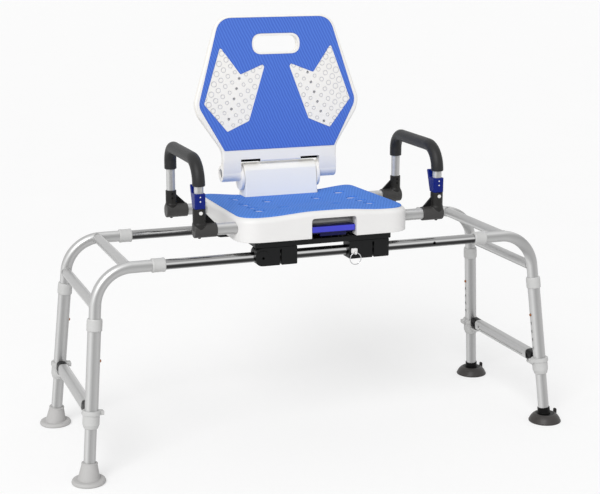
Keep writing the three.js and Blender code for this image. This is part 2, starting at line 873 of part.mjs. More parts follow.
// Sliders: two blocks under one flange, split by a slot, with the rail's bore through them
function sliderBody(start, sy, hasBoss, hasPin) {
  const y = sy * frame.railHalfSpacing;
  const [front, rear] = [y + sy * slider.frontFromRail, y - sy * slider.backFromRail];
  const [from, to] = [Math.min(front, rear), Math.max(front, rear)];
  const bottom = frame.railHeight - slider.bottomFromRail;
  const top = plateBottom - gap.touch;
  const end = start + slider.wide + slider.slot + slider.narrow;
  const endRadius = hasBoss ? slider.endRadius : slider.corner;
  const outline = rounded([
    [start, bottom, endRadius], [end, bottom, slider.corner],
    [end, top, slider.corner], [start, top, endRadius],
  ], 2 * facets.corner);
  const slotStart = start + slider.wide;
  let body = cut(slabY(outline, from, to), box(
    [slotStart, from - overrun, bottom - overrun],
    [slotStart + slider.slot, to + overrun, top - slider.flange],
  ));
  const faceOut = front + sy * slider.bossProud;
  if (hasBoss) {
    const x = start + slider.boss / 2;
    const [low, high] = [Math.min(faceOut, y), Math.max(faceOut, y)];
    body = join(body, barY(slider.boss / 2, low, high, x, frame.railHeight, facets.fine));
    const holeEnd = front - sy * slider.bossHoleDepth;
    const [holeFrom, holeTo] = [Math.min(holeEnd, faceOut + sy * overrun),
      Math.max(holeEnd, faceOut + sy * overrun)];
    body = cut(body, barY(slider.bossHole / 2, holeFrom, holeTo, x, frame.railHeight,
      facets.small));
  }
  body = cut(body, barX(rail.diameter / 2 + gap.fit, start - overrun, end + overrun, y,
    frame.railHeight));
  if (hasPin) {
    body = cut(body, barY(pin.diameter / 2 + gap.fit, front - overrun, y, pin.fromMiddle,
      frame.railHeight, facets.small));
  }
  return body;
}

for (const [depth, sy] of depths) {
  add(moving, `slider_${depth}_left`, sliderBody(slider.leftStart, sy, true, false),
    finishes.black());
  add(moving, `slider_${depth}_right`, sliderBody(slider.rightStart, sy, false, sy < 0),
    finishes.black());
}

// Pull pin, with an eye for its ring
const sliderFace = -frame.railHalfSpacing - slider.frontFromRail;
const pinTip = -frame.railHalfSpacing - rail.diameter / 2 - gap.touch;
const tabBack = sliderFace - gap.touch;
const tabFront = tabBack - pin.tabThick;
const eyeFront = tabFront - pin.eyeDepth;
const eyeMiddle = new THREE.Vector3(pin.fromMiddle, eyeFront + pin.eyeTall / 2,
  frame.railHeight - pin.tabTall / 2 + pin.eyeTall / 2);
const pinTab = slabY(rounded(rectangle(pin.fromMiddle - pin.tabWide / 2,
  pin.fromMiddle + pin.tabWide / 2, frame.railHeight - pin.tabTall / 2,
  frame.railHeight + pin.tabTall / 2, pin.tabCorner)), tabFront, tabBack);
const eye = slabX(rounded([
  [eyeFront, eyeMiddle.z - pin.eyeTall / 2, pin.eyeTall / 3],
  [tabBack, eyeMiddle.z - pin.eyeTall / 2, 0],
  [tabBack, eyeMiddle.z + pin.eyeTall / 2, 0],
  [eyeFront, eyeMiddle.z + pin.eyeTall / 2, pin.eyeTall / 3],
]), pin.fromMiddle - pin.eyeWide / 2, pin.fromMiddle + pin.eyeWide / 2);
add(moving, 'pull_pin', cut(
  join(pinTab, eye, barY(pin.diameter / 2, tabBack - pin.tabThick / 2, pinTip, pin.fromMiddle,
    frame.railHeight, facets.small)),
  barX(pin.eyeHole / 2, pin.fromMiddle - pin.tabWide, pin.fromMiddle + pin.tabWide, eyeMiddle.y,
    eyeMiddle.z, facets.small),
), finishes.white());
add(moving, 'pull_ring', solid(new THREE.TorusGeometry((ring.diameter - ring.wire) / 2,
  ring.wire / 2, facets.wire, facets.fine).rotateX(Math.PI / 2)
  .translate(pin.fromMiddle, eyeMiddle.y, eyeMiddle.z - (ring.diameter - ring.wire) / 2)),
finishes.steel());

// Turntable: a disc under the seat that turns on the hub, with its pivot in the base
const discBottom = hubTop + gap.touch;
const discTop = discBottom + turntable.thick;
add(moving, 'turntable_top', join(
  disc(turntable.diameter / 2, discBottom, discTop, facets.fine),
  disc(carriage.pivot / 2, plateBottom, discTop, facets.fine),
), finishes.steel());

// The seat's top: it falls to the back, and is raised in the middle of its front and dished behind that
function seatTop(x, y) {
  const along = (y - seat.front) / (seat.back - seat.front);
  const edge = seat.frontHeight + (seat.backHeight - seat.frontHeight) * along;
  const depth = smooth((y - seat.dishStart) / seat.dishRun);
  const across = 1 - smooth((Math.abs(x) - seat.dishFlat) / seat.dishRise);
  const raised = (1 - smooth((Math.abs(x) - seat.crownFlat) / seat.crownRise)) *
    (1 - smooth((y - seat.front) / seat.crownRun));
  return edge + seat.crown * raised - seat.dish * depth * across;
}

function seatOutline(frontInset, sideInset, backInset, frontCorner, backCorner) {
  const [front, rear] = [seat.front + frontInset, seat.back - backInset];
  const [wide, narrow] = [seat.frontHalfWidth - sideInset, seat.backHalfWidth - sideInset];
  return rounded([
    [-wide, front, frontCorner], [0, front, 0], [wide, front, frontCorner],
    [(wide + narrow) / 2, 0, 0], [narrow, rear, backCorner], [0, rear, 0],
    [-narrow, rear, backCorner], [-(wide + narrow) / 2, 0, 0],
  ], facets.seatCorner);
}

// The outline drawn in by an inset, at a height that may follow the top
const seatMiddle = (seat.front + seat.back) / 2;
const seatHalfDepth = (seat.back - seat.front) / 2;
function drawnIn(outline, inset, height) {
  const shareX = 1 - inset / seat.frontHalfWidth;
  const shareY = 1 - inset / seatHalfDepth;
  return outline.map((p) => {
    const x = p.x * shareX;
    const y = seatMiddle + (p.y - seatMiddle) * shareY;
    return new THREE.Vector3(x, y, height(x, y));
  });
}

const topShares = [0.3, 0.55, 0.8];
function dished(outline, bottom, drop, radius) {
  const top = (x, y) => seatTop(x, y) - drop;
  const rim = radius * (1 - Math.SQRT1_2);
  const rings = [
    drawnIn(outline, 0, bottom),
    drawnIn(outline, 0, (x, y) => top(x, y) - radius),
    drawnIn(outline, rim, (x, y) => top(x, y) - rim),
    drawnIn(outline, radius, top),
  ];
  const reach = Math.min(seat.frontHalfWidth, seatHalfDepth);
  for (const share of topShares) {
    rings.push(drawnIn(outline, radius + (reach - radius) * share, top));
  }
  return skin(rings);
}

const level = (height) => () => height;
const shellOutline = seatOutline(0, 0, 0, seat.frontCorner, seat.backCorner);
const shellOuter = dished(shellOutline, level(seat.bottom), pad.proud, seat.edgeRadius);
const hollowOutline = seatOutline(seat.wall, seat.wall, seat.wall, seat.frontCorner - seat.wall,
  seat.backCorner - seat.wall);
const shellHollow = dished(hollowOutline, level(seat.bottom - overrun),
  pad.proud + pad.recess + seat.deck, seat.edgeRadius);
const padOutline = (extra) => seatOutline(pad.frontInset - extra, pad.sideInset - extra,
  pad.backInset - extra, pad.frontCorner, pad.backCorner);
const onFloor = (drop) => (x, y) => seatTop(x, y) - drop;
const padFloor = pad.proud + pad.recess;

// A pad-shaped block with a dished floor, for the recess and for the pad itself
function padBlock(outline, floorDrop, topDrop, edge) {
  const reach = Math.min(seat.frontHalfWidth, seatHalfDepth);
  const rings = [...topShares].reverse().map((share) =>
    drawnIn(outline, edge + (reach - edge) * share, onFloor(floorDrop)));
  rings.push(drawnIn(outline, edge, onFloor(floorDrop)));
  rings.push(drawnIn(outline, 0, onFloor((floorDrop + topDrop) / 2)));
  rings.push(drawnIn(outline, edge, onFloor(topDrop)));
  topShares.forEach((share) =>
    rings.push(drawnIn(outline, edge + (reach - edge) * share, onFloor(topDrop))));
  return skin(rings);
}

const blockDeck = seat.backHeight - seat.dish - padFloor - seat.deck / 2;
const blockProfile = [[hinge.blockFrontBottom, blockDeck], [seat.back, blockDeck]];
for (let i = 0; i <= 2 * facets.bend; i += 1) {
  const angle = (Math.PI * i) / (2 * facets.bend);
  const y = hinge.back + hinge.blockRadius * Math.cos(angle);
  const z = hinge.height + hinge.blockRadius * Math.sin(angle);
  if (z > hinge.height + hinge.blockShoulder || y > hinge.back) blockProfile.push([y, z]);
}
blockProfile.push([hinge.blockFrontTop, hinge.height + hinge.blockShoulder]);
const blockOutline = blockProfile.map(([y, z]) => new THREE.Vector2(y, z));
const hingeBlock = slabX(blockOutline, -hinge.blockHalfWidth, hinge.blockHalfWidth);

function leverEar(x) {
  const y = seat.front + lever.pivotFromFront;
  return box([x - lever.ear / 2, y - lever.earWide / 2, lever.earBottom],
    [x + lever.ear / 2, y + lever.earWide / 2, seat.frontHeight]);
}
const leverMiddle = (pocket.left + pocket.right) / 2;
const earOffset = lever.arm / 2 + lever.ear / 2 + gap.touch;
const bossBody = pipe(turntable.boss / 2 - turntable.bossWall, turntable.boss / 2,
  discTop + gap.touch, seat.frontHeight + seat.crown, facets.fine);
const pocketWalls = box(
  [pocket.left - pocket.wall, seat.front, seat.bottom],
  [pocket.right + pocket.wall, seat.front + pocket.depth, seat.frontHeight],
);
const ears = [-earOffset, earOffset].map((offset) => leverEar(leverMiddle + offset));
const insides = join(bossBody, ...ears, pocketWalls).intersect(shellOuter);
const pocketCut = slabY(rounded([
  [pocket.left, seat.bottom - overrun, 0], [pocket.right, seat.bottom - overrun, 0],
  [pocket.right, pocket.roof, pocket.corner], [pocket.left, pocket.roof, pocket.corner],
]), seat.front - overrun, seat.front + pocket.depth + overrun);
const tubeRoom = arm.crossTube / 2 + gap.fit;
const shellSide = seat.frontHalfWidth + overrun;
const pivotY = seat.front + lever.pivotFromFront;
const padRoom = padBlock(padOutline(gap.fit), padFloor, -overrun, 0);
const blockRoom = box(
  [-hinge.blockHalfWidth - gap.fit, hinge.blockFrontBottom - gap.fit, seat.bottom],
  [hinge.blockHalfWidth + gap.fit, seat.back + overrun, hinge.height + hinge.barrel],
);

const deckPart = cut(join(cut(shellOuter, shellHollow), insides), padRoom, pocketCut);
add(moving, 'seat_shell', cut(
  join(deckPart, hingeBlock),
  barX(tubeRoom, -shellSide, shellSide, arm.crossFront, arm.crossHeight),
  barX(tubeRoom, -shellSide, -arm.stubInner + gap.fit, arm.crossBack, arm.crossHeight),
  barX(tubeRoom, arm.stubInner - gap.fit, shellSide, arm.crossBack, arm.crossHeight),
  barX(hinge.pin / 2 + gap.turn, -hinge.barrelEnd, hinge.barrelEnd, hinge.back, hinge.height,
    facets.small),
  barX(lever.pivotPin / 2 + gap.turn, leverMiddle - lever.arm, leverMiddle + lever.arm, pivotY,
    lever.pivotHeight, facets.small),
), finishes.white());

// Seat pad with its drain holes
let padBody = cut(padBlock(padOutline(0), padFloor - gap.touch, 0, pad.edge), blockRoom);
for (const [shareX, shareY] of drainShares) {
  for (const sx of [-1, 1]) {
    const hole = turnedGeometry([[0, seat.bottom], [pad.hole / 2, seat.bottom],
      [pad.hole / 2, hinge.height], [0, hinge.height]]);
    hole.translate(sx * shareX * seat.frontHalfWidth, shareY * seat.front, 0);
    padBody = cut(padBody, solid(hole));
  }
}
add(moving, 'seat_pad', padBody, finishes.seatBlue());

// Swivel lever: a paddle in the pocket on an arm that passes under the front cross tube
const paddleFront = seat.front + lever.fromFront;
const armHalf = lever.arm / 2;
add(moving, 'swivel_lever', join(
  slabX(rounded(rectangle(paddleFront, paddleFront + lever.depth, lever.bottom,
    lever.bottom + lever.thick, lever.corner)), pocket.left + gap.plug, pocket.right - gap.plug),
  box([leverMiddle - armHalf, paddleFront + lever.depth / 2, lever.armBottom],
    [leverMiddle + armHalf, pivotY + lever.pivotPin, lever.armTop]),
  box([leverMiddle - armHalf, paddleFront + lever.depth / 2 - lever.corner, lever.armBottom],
    [leverMiddle + armHalf, paddleFront + lever.depth - gap.plug, lever.bottom + lever.corner]),
  barX(lever.pivotPin / 2, leverMiddle - earOffset - lever.ear, leverMiddle + earOffset + lever.ear,
    pivotY, lever.pivotHeight, facets.small),
), finishes.violet());

// Welded tube frame that carries the arms: a full front tube, two rear stubs and two straps
const crossEnd = arm.postFromMiddle + arm.knuckleOuter - arm.knuckleWall - gap.touch;
const crossInner = arm.crossTube / 2 - arm.crossWall;
const strapTop = arm.crossHeight - arm.crossTube / 2 + arm.strapThick;
function strap(sx) {
  const x = sx * arm.strapFromMiddle;
  return box([x - arm.strap / 2, arm.crossFront, strapTop - 1.5 * arm.strapThick],
    [x + arm.strap / 2, arm.crossBack, strapTop - arm.strapThick / 2]);
}
add(moving, 'arm_frame', cut(
  join(
    barX(arm.crossTube / 2, -crossEnd, crossEnd, arm.crossFront, arm.crossHeight),
    barX(arm.crossTube / 2, arm.stubInner, crossEnd, arm.crossBack, arm.crossHeight),
    barX(arm.crossTube / 2, -crossEnd, -arm.stubInner, arm.crossBack, arm.crossHeight),
    strap(-1),
    strap(1),
  ),
  barX(crossInner, -shellSide - crossEnd, shellSide + crossEnd, arm.crossFront, arm.crossHeight),
  barX(crossInner, -shellSide - crossEnd, shellSide + crossEnd, arm.crossBack, arm.crossHeight),
), finishes.frame());

// The back turns about the hinge pin; in its group Y runs up the back and Z to its front
add(moving, 'hinge_pin', barX(hinge.pin / 2, -hinge.barrelEnd + hinge.endRecessDepth + gap.touch,
  hinge.barrelEnd - hinge.endRecessDepth - gap.touch, hinge.back, hinge.height, facets.small),
finishes.steel());

const backGroup = new THREE.Group();
backGroup.position.set(0, hinge.back, hinge.height);
backGroup.rotation.x = Math.PI / 2 - THREE.MathUtils.degToRad(back.tilt);
moving.add(backGroup);

const backPoint = ([x, y, r = 0]) => [
  x * back.waistHalfWidth, y * back.top, r * back.corner,
];
const mirrored = (half) => rounded([
  ...half, ...[...half].reverse().map(([x, y, r]) => [-x, y, r]),
], 2 * facets.corner);
const backFace = back.front;
const backRear = back.front - back.thick;
const backOutline = mirrored(backShares.map(backPoint));
const shrink = (points, amount) => points.map(([x, y, r]) => {
  const middleY = back.top / 2;
  const shareY = 1 - amount / middleY;
  return [x * (1 - amount / back.waistHalfWidth), middleY + (y - middleY) * shareY, r];
});
const padCorners = (extra) => mirrored(shrink(backPadShares.map(backPoint), extra));
const pill = (extra) => {
  const half = back.handleHalfHeight + extra;
  return rounded(rectangle(-back.handleHalfLength - extra, back.handleHalfLength + extra,
    back.handleHeight - half, back.handleHeight + half, half), 2 * facets.corner);
};
function window(sx, extra) {
  const corners = windowShares.map(backPoint);
  const middle = corners.reduce((sum, [x, y]) => [sum[0] + x / corners.length,
    sum[1] + y / corners.length], [0, 0]);
  const reach = back.waistHalfWidth / 3;
  return rounded(corners.map(([x, y]) => [
    sx * (middle[0] + (x - middle[0]) * (1 + extra / reach)),
    middle[1] + (y - middle[1]) * (1 + extra / reach),
    back.windowCorner,
  ]), 2);
}

const recess = slab(padCorners(-gap.fit), backFace - back.padRecess, backFace + overrun,
  [pill(-gap.touch), window(-1, -gap.touch).reverse(), window(1, -gap.touch)]);
const barrelInner = hinge.blockHalfWidth + gap.turn + gap.touch;
const cheekEnd = barrelInner + hinge.cheekThick;
function barrelSide(sx) {
  const span = (from, to) => [Math.min(sx * from, sx * to), Math.max(sx * from, sx * to)];
  const webPoints = [
    [-hinge.blockRadius / 3, hinge.barrel / 4], [0, -hinge.barrel / 8],
    [hinge.barrel / 2, 0], [backFace - back.edge / 4, back.bottom / 2],
    [backFace, back.bottom + back.edge], [backRear, back.bottom + back.edge],
  ].map(([z, y]) => new THREE.Vector2(y, z));
  const [webFrom, webTo] = span(cheekEnd, back.neckHalfWidth);
  return join(
    barX(hinge.barrel / 2, ...span(barrelInner, hinge.barrelEnd), 0, 0, facets.fine),
    barX(hinge.cheek / 2, ...span(barrelInner, cheekEnd), -hinge.cheekDrop, 0, facets.fine),
    slabX(webPoints, webFrom, webTo),
  );
}
function barrelBore(sx) {
  const outer = sx * (hinge.barrelEnd + overrun);
  const recessEnd = sx * (hinge.barrelEnd - hinge.endRecessDepth);
  const inner = sx * (barrelInner - overrun);
  return join(
    barX(hinge.endRecess / 2, Math.min(outer, recessEnd), Math.max(outer, recessEnd), 0, 0),
    barX(hinge.pin / 2 + gap.turn, Math.min(outer, inner), Math.max(outer, inner), 0, 0,
      facets.small),
  );
}
const slotCut = (sx) => {
  const [from, to] = [sx * back.slotInner, sx * (cheekEnd)].sort((a, b) => a - b);
  return box([from, 0, backRear + back.slotFloor], [to, back.slotBottom, backFace + overrun]);
};
const handleCut = slab(pill(-back.handleRim), backRear - overrun, backFace + overrun);
const backPlate = cut(slab(backOutline, backRear, backFace, [], back.edge), slotCut(-1), slotCut(1));
add(backGroup, 'back_shell', cut(
  join(cut(backPlate, recess), barrelSide(-1), barrelSide(1)),
  handleCut, barrelBore(-1), barrelBore(1),
), finishes.white());
add(backGroup, 'back_pad', slab(padCorners(0), backFace - back.padRecess + gap.touch,
  backFace - back.padRecess + back.padThick,
  [pill(0), window(-1, 0).reverse(), window(1, 0)]), finishes.blue());

// Arms: each turns about the rear cross tube, and its front end plugs into the front socket
function knuckle(sx, y) {
  const inner = sx * (arm.postFromMiddle - arm.knuckleInner);
  const outer = sx * (arm.postFromMiddle + arm.knuckleOuter);
  return barX(arm.knuckle / 2, Math.min(inner, outer), Math.max(inner, outer), y,
    arm.crossHeight);
}
function knuckleBore(sx, y) {
  const inner = sx * (arm.postFromMiddle - arm.knuckleInner - overrun);
  const outer = sx * (crossEnd + gap.touch);
  return barX(arm.crossTube / 2 + gap.turn, Math.min(inner, outer), Math.max(inner, outer), y,
    arm.crossHeight);
}
function post(sx, y, radius, bottom, top, count = facets.tube) {
  const made = turnedGeometry([[0, bottom], [radius, bottom], [radius, top], [0, top]], count);
  return solid(made.translate(sx * arm.postFromMiddle, y, 0));
}
function gusset(sx, y) {
  const x = sx * arm.postFromMiddle;
  const inner = x - sx * (arm.knuckleInner - arm.gusset / 2);
  const points = [
    new THREE.Vector2(x, arm.crossHeight),
    new THREE.Vector2(inner, arm.crossHeight),
    new THREE.Vector2(inner, arm.crossHeight + arm.knuckle / 2),
    new THREE.Vector2(x - (sx * arm.backSocket) / 2, arm.gussetTop),
    new THREE.Vector2(x, arm.gussetTop),
  ];
  return slabY(sx < 0 ? points : points.reverse(), y - arm.gusset / 2, y + arm.gusset / 2);
}
function dimple(x, y, z, diameter, depth) {
  return barY(diameter / 2, y - overrun, y + depth, x, z, facets.small);
}

for (const [side, sx] of sides) {
  const x = sx * arm.postFromMiddle;
  const [tubeOuter, tubeInner] = [arm.tubeDiameter / 2, arm.tubeDiameter / 2 - arm.wall];
  const backEnd = arm.backSocketTop - arm.backInsert;
  const frontEnd = arm.frontSocketTop - arm.plug;
  const route = (rearZ, frontZ) => [
    new THREE.Vector3(x, arm.crossBack, rearZ), new THREE.Vector3(x, arm.crossBack, arm.top),
    new THREE.Vector3(x, arm.crossFront, arm.top), new THREE.Vector3(x, arm.crossFront, frontZ),
  ];
  const bends = [arm.backBend, arm.frontBend];
  add(moving, `arm_tube_${side}`, bentTube(route(backEnd, frontEnd), bends, tubeOuter, tubeInner),
    finishes.frame());
  add(moving, `arm_grip_${side}`, bentTube(route(arm.gripBottom, arm.gripBottom), bends,
    arm.grip / 2, tubeOuter + gap.touch), finishes.grip());

  const backFaceY = arm.crossBack - arm.backSocket / 2;
  const screwBottom = arm.crossHeight - arm.knuckle / 2 - arm.screwProud;
  add(moving, `rear_bracket_${side}`, cut(
    join(
      knuckle(sx, arm.crossBack),
      post(sx, arm.crossBack, arm.backSocket / 2, arm.crossHeight, arm.backSocketTop),
      gusset(sx, arm.crossBack),
      post(sx, arm.crossBack, arm.screw / 2, screwBottom, arm.crossHeight, facets.small),
    ),
    knuckleBore(sx, arm.crossBack),
    post(sx, arm.crossBack, tubeOuter + gap.touch, backEnd - gap.touch,
      arm.backSocketTop + overrun),
    dimple(x, backFaceY, arm.holeTop, arm.holeDiameter, arm.holeDepth),
    dimple(x, backFaceY, arm.holeTop - arm.holePitch, arm.holeDiameter, arm.holeDepth),
  ), finishes.socket());

  const frontFaceY = arm.crossFront - arm.frontSocket / 2;
  add(moving, `front_socket_${side}`, cut(
    join(
      knuckle(sx, arm.crossFront),
      post(sx, arm.crossFront, arm.frontSocket / 2, arm.crossHeight, arm.frontSocketTop),
      gusset(sx, arm.crossFront),
      post(sx, arm.crossFront, arm.screw / 2, screwBottom, arm.crossHeight, facets.small),
      barY(arm.studDiameter / 2, frontFaceY - arm.studProud, arm.crossFront, x, arm.studHeight,
        facets.small),
    ),
    knuckleBore(sx, arm.crossFront),
    post(sx, arm.crossFront, tubeOuter + gap.plug, frontEnd - gap.plug,
      arm.frontSocketTop + overrun, facets.fine),
  ), finishes.socket());

  const latchBottom = arm.frontSocketTop + gap.touch;
  const [latchFront, latchBack] = [arm.crossFront - latch.front, arm.crossFront + latch.back];
  const tab = slabX([
    [latchBack - latch.corner, latchBottom], [latchBack, latchBottom],
    [arm.crossFront + latch.tabOuter, latch.tabTop],
    [arm.crossFront + latch.tabInner + latch.corner * 2, latch.tabTop],
    [arm.crossFront + latch.tabInner, latch.bodyTop], [latchBack - latch.corner, latch.bodyTop],
  ].map(([y, z]) => new THREE.Vector2(y, z)), x - latch.tabWide / 2, x + latch.tabWide / 2);
  add(moving, `latch_${side}`, cut(
    join(
      slab(rounded(rectangle(x - latch.wide / 2, x + latch.wide / 2, latchFront, latchBack,
        latch.corner)), latchBottom, latch.bodyTop),
      tab,
    ),
    post(sx, arm.crossFront, tubeOuter + gap.fit, latchBottom - overrun, latch.bodyTop + overrun),
    dimple(x, latchFront, latch.dotTop, latch.dot, latch.dotDepth),
    dimple(x, latchFront, latch.dotTop - latch.dotPitch, latch.dot, latch.dotDepth),
  ), finishes.navy());
}

export default bench;
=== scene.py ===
import bmesh
import bpy
import json
import math
from mathutils import Matrix, Vector


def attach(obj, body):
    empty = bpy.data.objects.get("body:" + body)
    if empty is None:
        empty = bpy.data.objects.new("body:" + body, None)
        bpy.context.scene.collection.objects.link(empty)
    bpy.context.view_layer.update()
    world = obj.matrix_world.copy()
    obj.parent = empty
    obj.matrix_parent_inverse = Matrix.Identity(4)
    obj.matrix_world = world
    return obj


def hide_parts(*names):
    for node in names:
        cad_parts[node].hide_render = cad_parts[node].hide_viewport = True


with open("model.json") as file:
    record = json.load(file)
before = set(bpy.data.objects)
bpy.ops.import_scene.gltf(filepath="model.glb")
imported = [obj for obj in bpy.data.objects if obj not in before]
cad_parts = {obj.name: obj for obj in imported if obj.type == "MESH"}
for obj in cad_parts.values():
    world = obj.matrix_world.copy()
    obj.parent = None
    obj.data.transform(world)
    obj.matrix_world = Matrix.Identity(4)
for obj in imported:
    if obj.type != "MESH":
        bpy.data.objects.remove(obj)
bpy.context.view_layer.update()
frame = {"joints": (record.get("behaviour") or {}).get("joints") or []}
print("frame loaded")

# Settings are in millimetres and degrees, and the studio's in metres; a piece is scaled when it is settled
mm = 0.001
ends = (("left", -1), ("right", 1))
rows = (("front", -1), ("rear", 1))
# The carriage's place along the rails; what it carries is built about the seat's middle
park = next(joint["pos_m"][0] for joint in frame["joints"] if joint["name"] == "seat_swivel") / mm
# The bench's frame, whose sizes the other pieces and the rails' painted reflection follow
bench = {"railZ": 449.1, "railY": 150.4, "cornerX": 508.3, "footX": 547.2, "footY": 189.4, "tube": 25.4,
         "wall": 1.2, "bend": 80, "jointX": 377.2, "crossbar": 22.2, "upperBarX": 442, "lowerBarZ": 373.5,
         "barSink": 0.6, "weld": 1.5, "weldSwell": 0.12, "weldRhythm": 2.1, "rail": 22.2, "tubeInSleeve": 35}


# Mesh kit
def turns(count):  # angles that go once round
    return [2 * math.pi * i / count for i in range(count)]


def addRings(bm, rings, loop=False):  # skins a stack of rings; a ring of one point is a pole
    made = [[bm.verts.new(p) for p in ring] for ring in rings]
    pairs = list(zip(made, made[1:]))
    if loop:
        pairs.append((made[-1], made[0]))
    for low, high in pairs:
        count = max(len(low), len(high))
        for i in range(count):
            j = (i + 1) % count
            corners = [low[i % len(low)], low[j % len(low)], high[j % len(high)], high[i % len(high)]]
            corners = list(dict.fromkeys(corners))
            if len(corners) > 2:
                bm.faces.new(corners)
    if not loop:
        for ring in (made[0], made[-1]):
            if len(ring) > 2:
                bm.faces.new(ring)


def lathe(bm, profile, place=Matrix(), sides=48, loop=False):
    rings = []
    for radius, height in profile:
        angles = turns(sides if radius > 0.01 else 1)
        rings.append([place @ Vector((radius * math.cos(a), radius * math.sin(a), height)) for a in angles])
    addRings(bm, rings, loop)


def at(x, y, z=0):
    return Matrix.Translation((x, y, z))


def alongX(x, y, z):  # turns a lathe's axis to +X
    return at(x, y, z) @ Matrix.Rotation(math.radians(90), 4, "Y")


def alongY(x, y, z):  # turns a lathe's axis to +Y
    return at(x, y, z) @ Matrix.Rotation(math.radians(-90), 4, "X")


def rod(bm, radius, low, high, place=Matrix(), sides=40, edge=0.0):
    profile = [(0, low), (radius, low), (radius, high), (0, high)]
    if edge:
        soft = 0.3 * edge
        profile[1:3] = [(radius - edge, low), (radius - soft, low + soft), (radius, low + edge),
                        (radius, high - edge), (radius - soft, high - soft), (radius - edge, high)]
    lathe(bm, profile, place, sides)


def bentPath(corners, radii, step=5):  # straight runs joined by round bends
    corners = [Vector(c) for c in corners]
    path = [corners[0]]
    for i, radius in enumerate(radii, 1):
        into = (corners[i] - corners[i - 1]).normalized()
        out = (corners[i + 1] - corners[i]).normalized()
        turn = into.angle(out)
        start = corners[i] - into * radius * math.tan(turn / 2)
        side = (out - into * out.dot(into)).normalized()
        steps = max(3, round(math.degrees(turn) / step))
        for k in range(steps + 1):
            angle = turn * k / steps
            path.append(start + into * radius * math.sin(angle) + side * radius * (1 - math.cos(angle)))
    path.append(corners[-1])
    return path


def sweep(bm, path, outer, inner=0.0, lip=0.5, sides=36):  # a hollow tube with a small lip at both ends
    last = len(path) - 1
    ways = [(path[min(i + 1, last)] - path[max(i - 1, 0)]).normalized() for i in range(last + 1)]
    side = ways[0].orthogonal().normalized()
    frames = []
    for way in ways:
        side = (side - way * side.dot(way)).normalized()
        frames.append((side.copy(), way.cross(side)))

    def ring(i, radius, shift=0.0):
        across, up = frames[i]
        middle = path[i] + ways[i] * shift
        return [middle + across * radius * math.cos(a) + up * radius * math.sin(a) for a in turns(sides)]

    rings = [ring(0, outer - lip), ring(0, outer, lip)]
    rings += [ring(i, outer) for i in range(1, last)]
    rings += [ring(last, outer, -lip), ring(last, outer - lip)]
    rings += [ring(i, inner) for i in range(last, -1, -1)]
    addRings(bm, rings, loop=True)


def roundedOutline(corners, steps=8):  # a corner is its two coordinates and its radius
    points = []
    for i, (x, y, radius) in enumerate(corners):
        here = Vector((x, y))
        toLast = Vector(corners[i - 1][:2]) - here
        toNext = Vector(corners[(i + 1) % len(corners)][:2]) - here
        turn = math.pi - toLast.angle(toNext)
        reach = min(radius * math.tan(turn / 2), toLast.length / 2, toNext.length / 2)
        if reach < 0.001:
            points.append(here)
            continue
        start, end = here + toLast.normalized() * reach, here + toNext.normalized() * reach
        for t in (k / steps for k in range(steps + 1)):
            points.append(start.lerp(here, t).lerp(here.lerp(end, t), t))
    return [p for i, p in enumerate(points) if (p - points[i - 1]).length > 0.001]


def roundedRectangle(left, right, low, high, radius, steps=8):
    corners = [(left, low, radius), (right, low, radius), (right, high, radius), (left, high, radius)]
    return roundedOutline(corners, steps)


def prism(bm, outline, low, high, place=Matrix()):
    addRings(bm, [[place @ Vector((p[0], p[1], level)) for p in outline] for level in (low, high)])


# The planes of an outline that lies in Y and Z, or in X and Z
planeYZ = Matrix(((0, 0, 1, 0), (1, 0, 0, 0), (0, 1, 0, 0), (0, 0, 0, 1)))
planeXZ = Matrix(((1, 0, 0, 0), (0, 0, 1, 0), (0, 1, 0, 0), (0, 0, 0, 1)))


def block(bm, low, high, place=Matrix()):
    outline = [(low[0], low[1]), (high[0], low[1]), (high[0], high[1]), (low[0], high[1])]
    prism(bm, outline, low[2], high[2], place)


def shape(build, *args, **named):  # a new mesh made by one of the functions above
    bm = bmesh.new()
    build(bm, *args, **named)
    return bm


def cylinder(*args, **named):
    return shape(rod, *args, **named)


def looseObject(bm):
    bmesh.ops.recalc_face_normals(bm, faces=bm.faces)
    mesh = bpy.data.meshes.new("loose")
    bm.to_mesh(mesh)
    bm.free()
    made = bpy.data.objects.new("loose", mesh)
    bpy.context.scene.collection.objects.link(made)
    return made


def formed(build, *args, **named):
    return looseObject(shape(build, *args, **named))


def meshOf(made):  # takes a loose object's mesh for use in another piece
    bm = bmesh.new()
    bm.from_mesh(made.data)
    bpy.data.objects.remove(made)
    return bm


def bakeModifiers(made):
    depsgraph = bpy.context.evaluated_depsgraph_get()
    mesh = bpy.data.meshes.new_from_object(made.evaluated_get(depsgraph))
    old = made.data
    made.modifiers.clear()
    made.data = mesh
    bpy.data.meshes.remove(old)


def soften(made, width, segments=3, angle=35):
    bevel = made.modifiers.new("edges", "BEVEL")
    bevel.width = width
    bevel.segments = segments
    bevel.limit_method = "ANGLE"
    bevel.angle_limit = math.radians(angle)
    bakeModifiers(made)
    return made


def softShape(width, segments, angle, build, *args):
    return meshOf(soften(formed(build, *args), width, segments, angle))


def combine(made, shapes, operation):
    for bm in shapes:
        tool = looseObject(bm)
        modifier = made.modifiers.new("shape", "BOOLEAN")
        modifier.operation = operation
        modifier.solver = "EXACT"
        modifier.object = tool
        bakeModifiers(made)
        bpy.data.objects.remove(tool)
    return made


def cutAway(made, *shapes):
    return combine(made, shapes, "DIFFERENCE")


def joinOn(made, *shapes):
    return combine(made, shapes, "UNION")


def nodeName(name):  # the CAD's own name of a piece: seatShell stands for seat_shell
    return "".join("_" + letter.lower() if letter.isupper() else letter for letter in name)


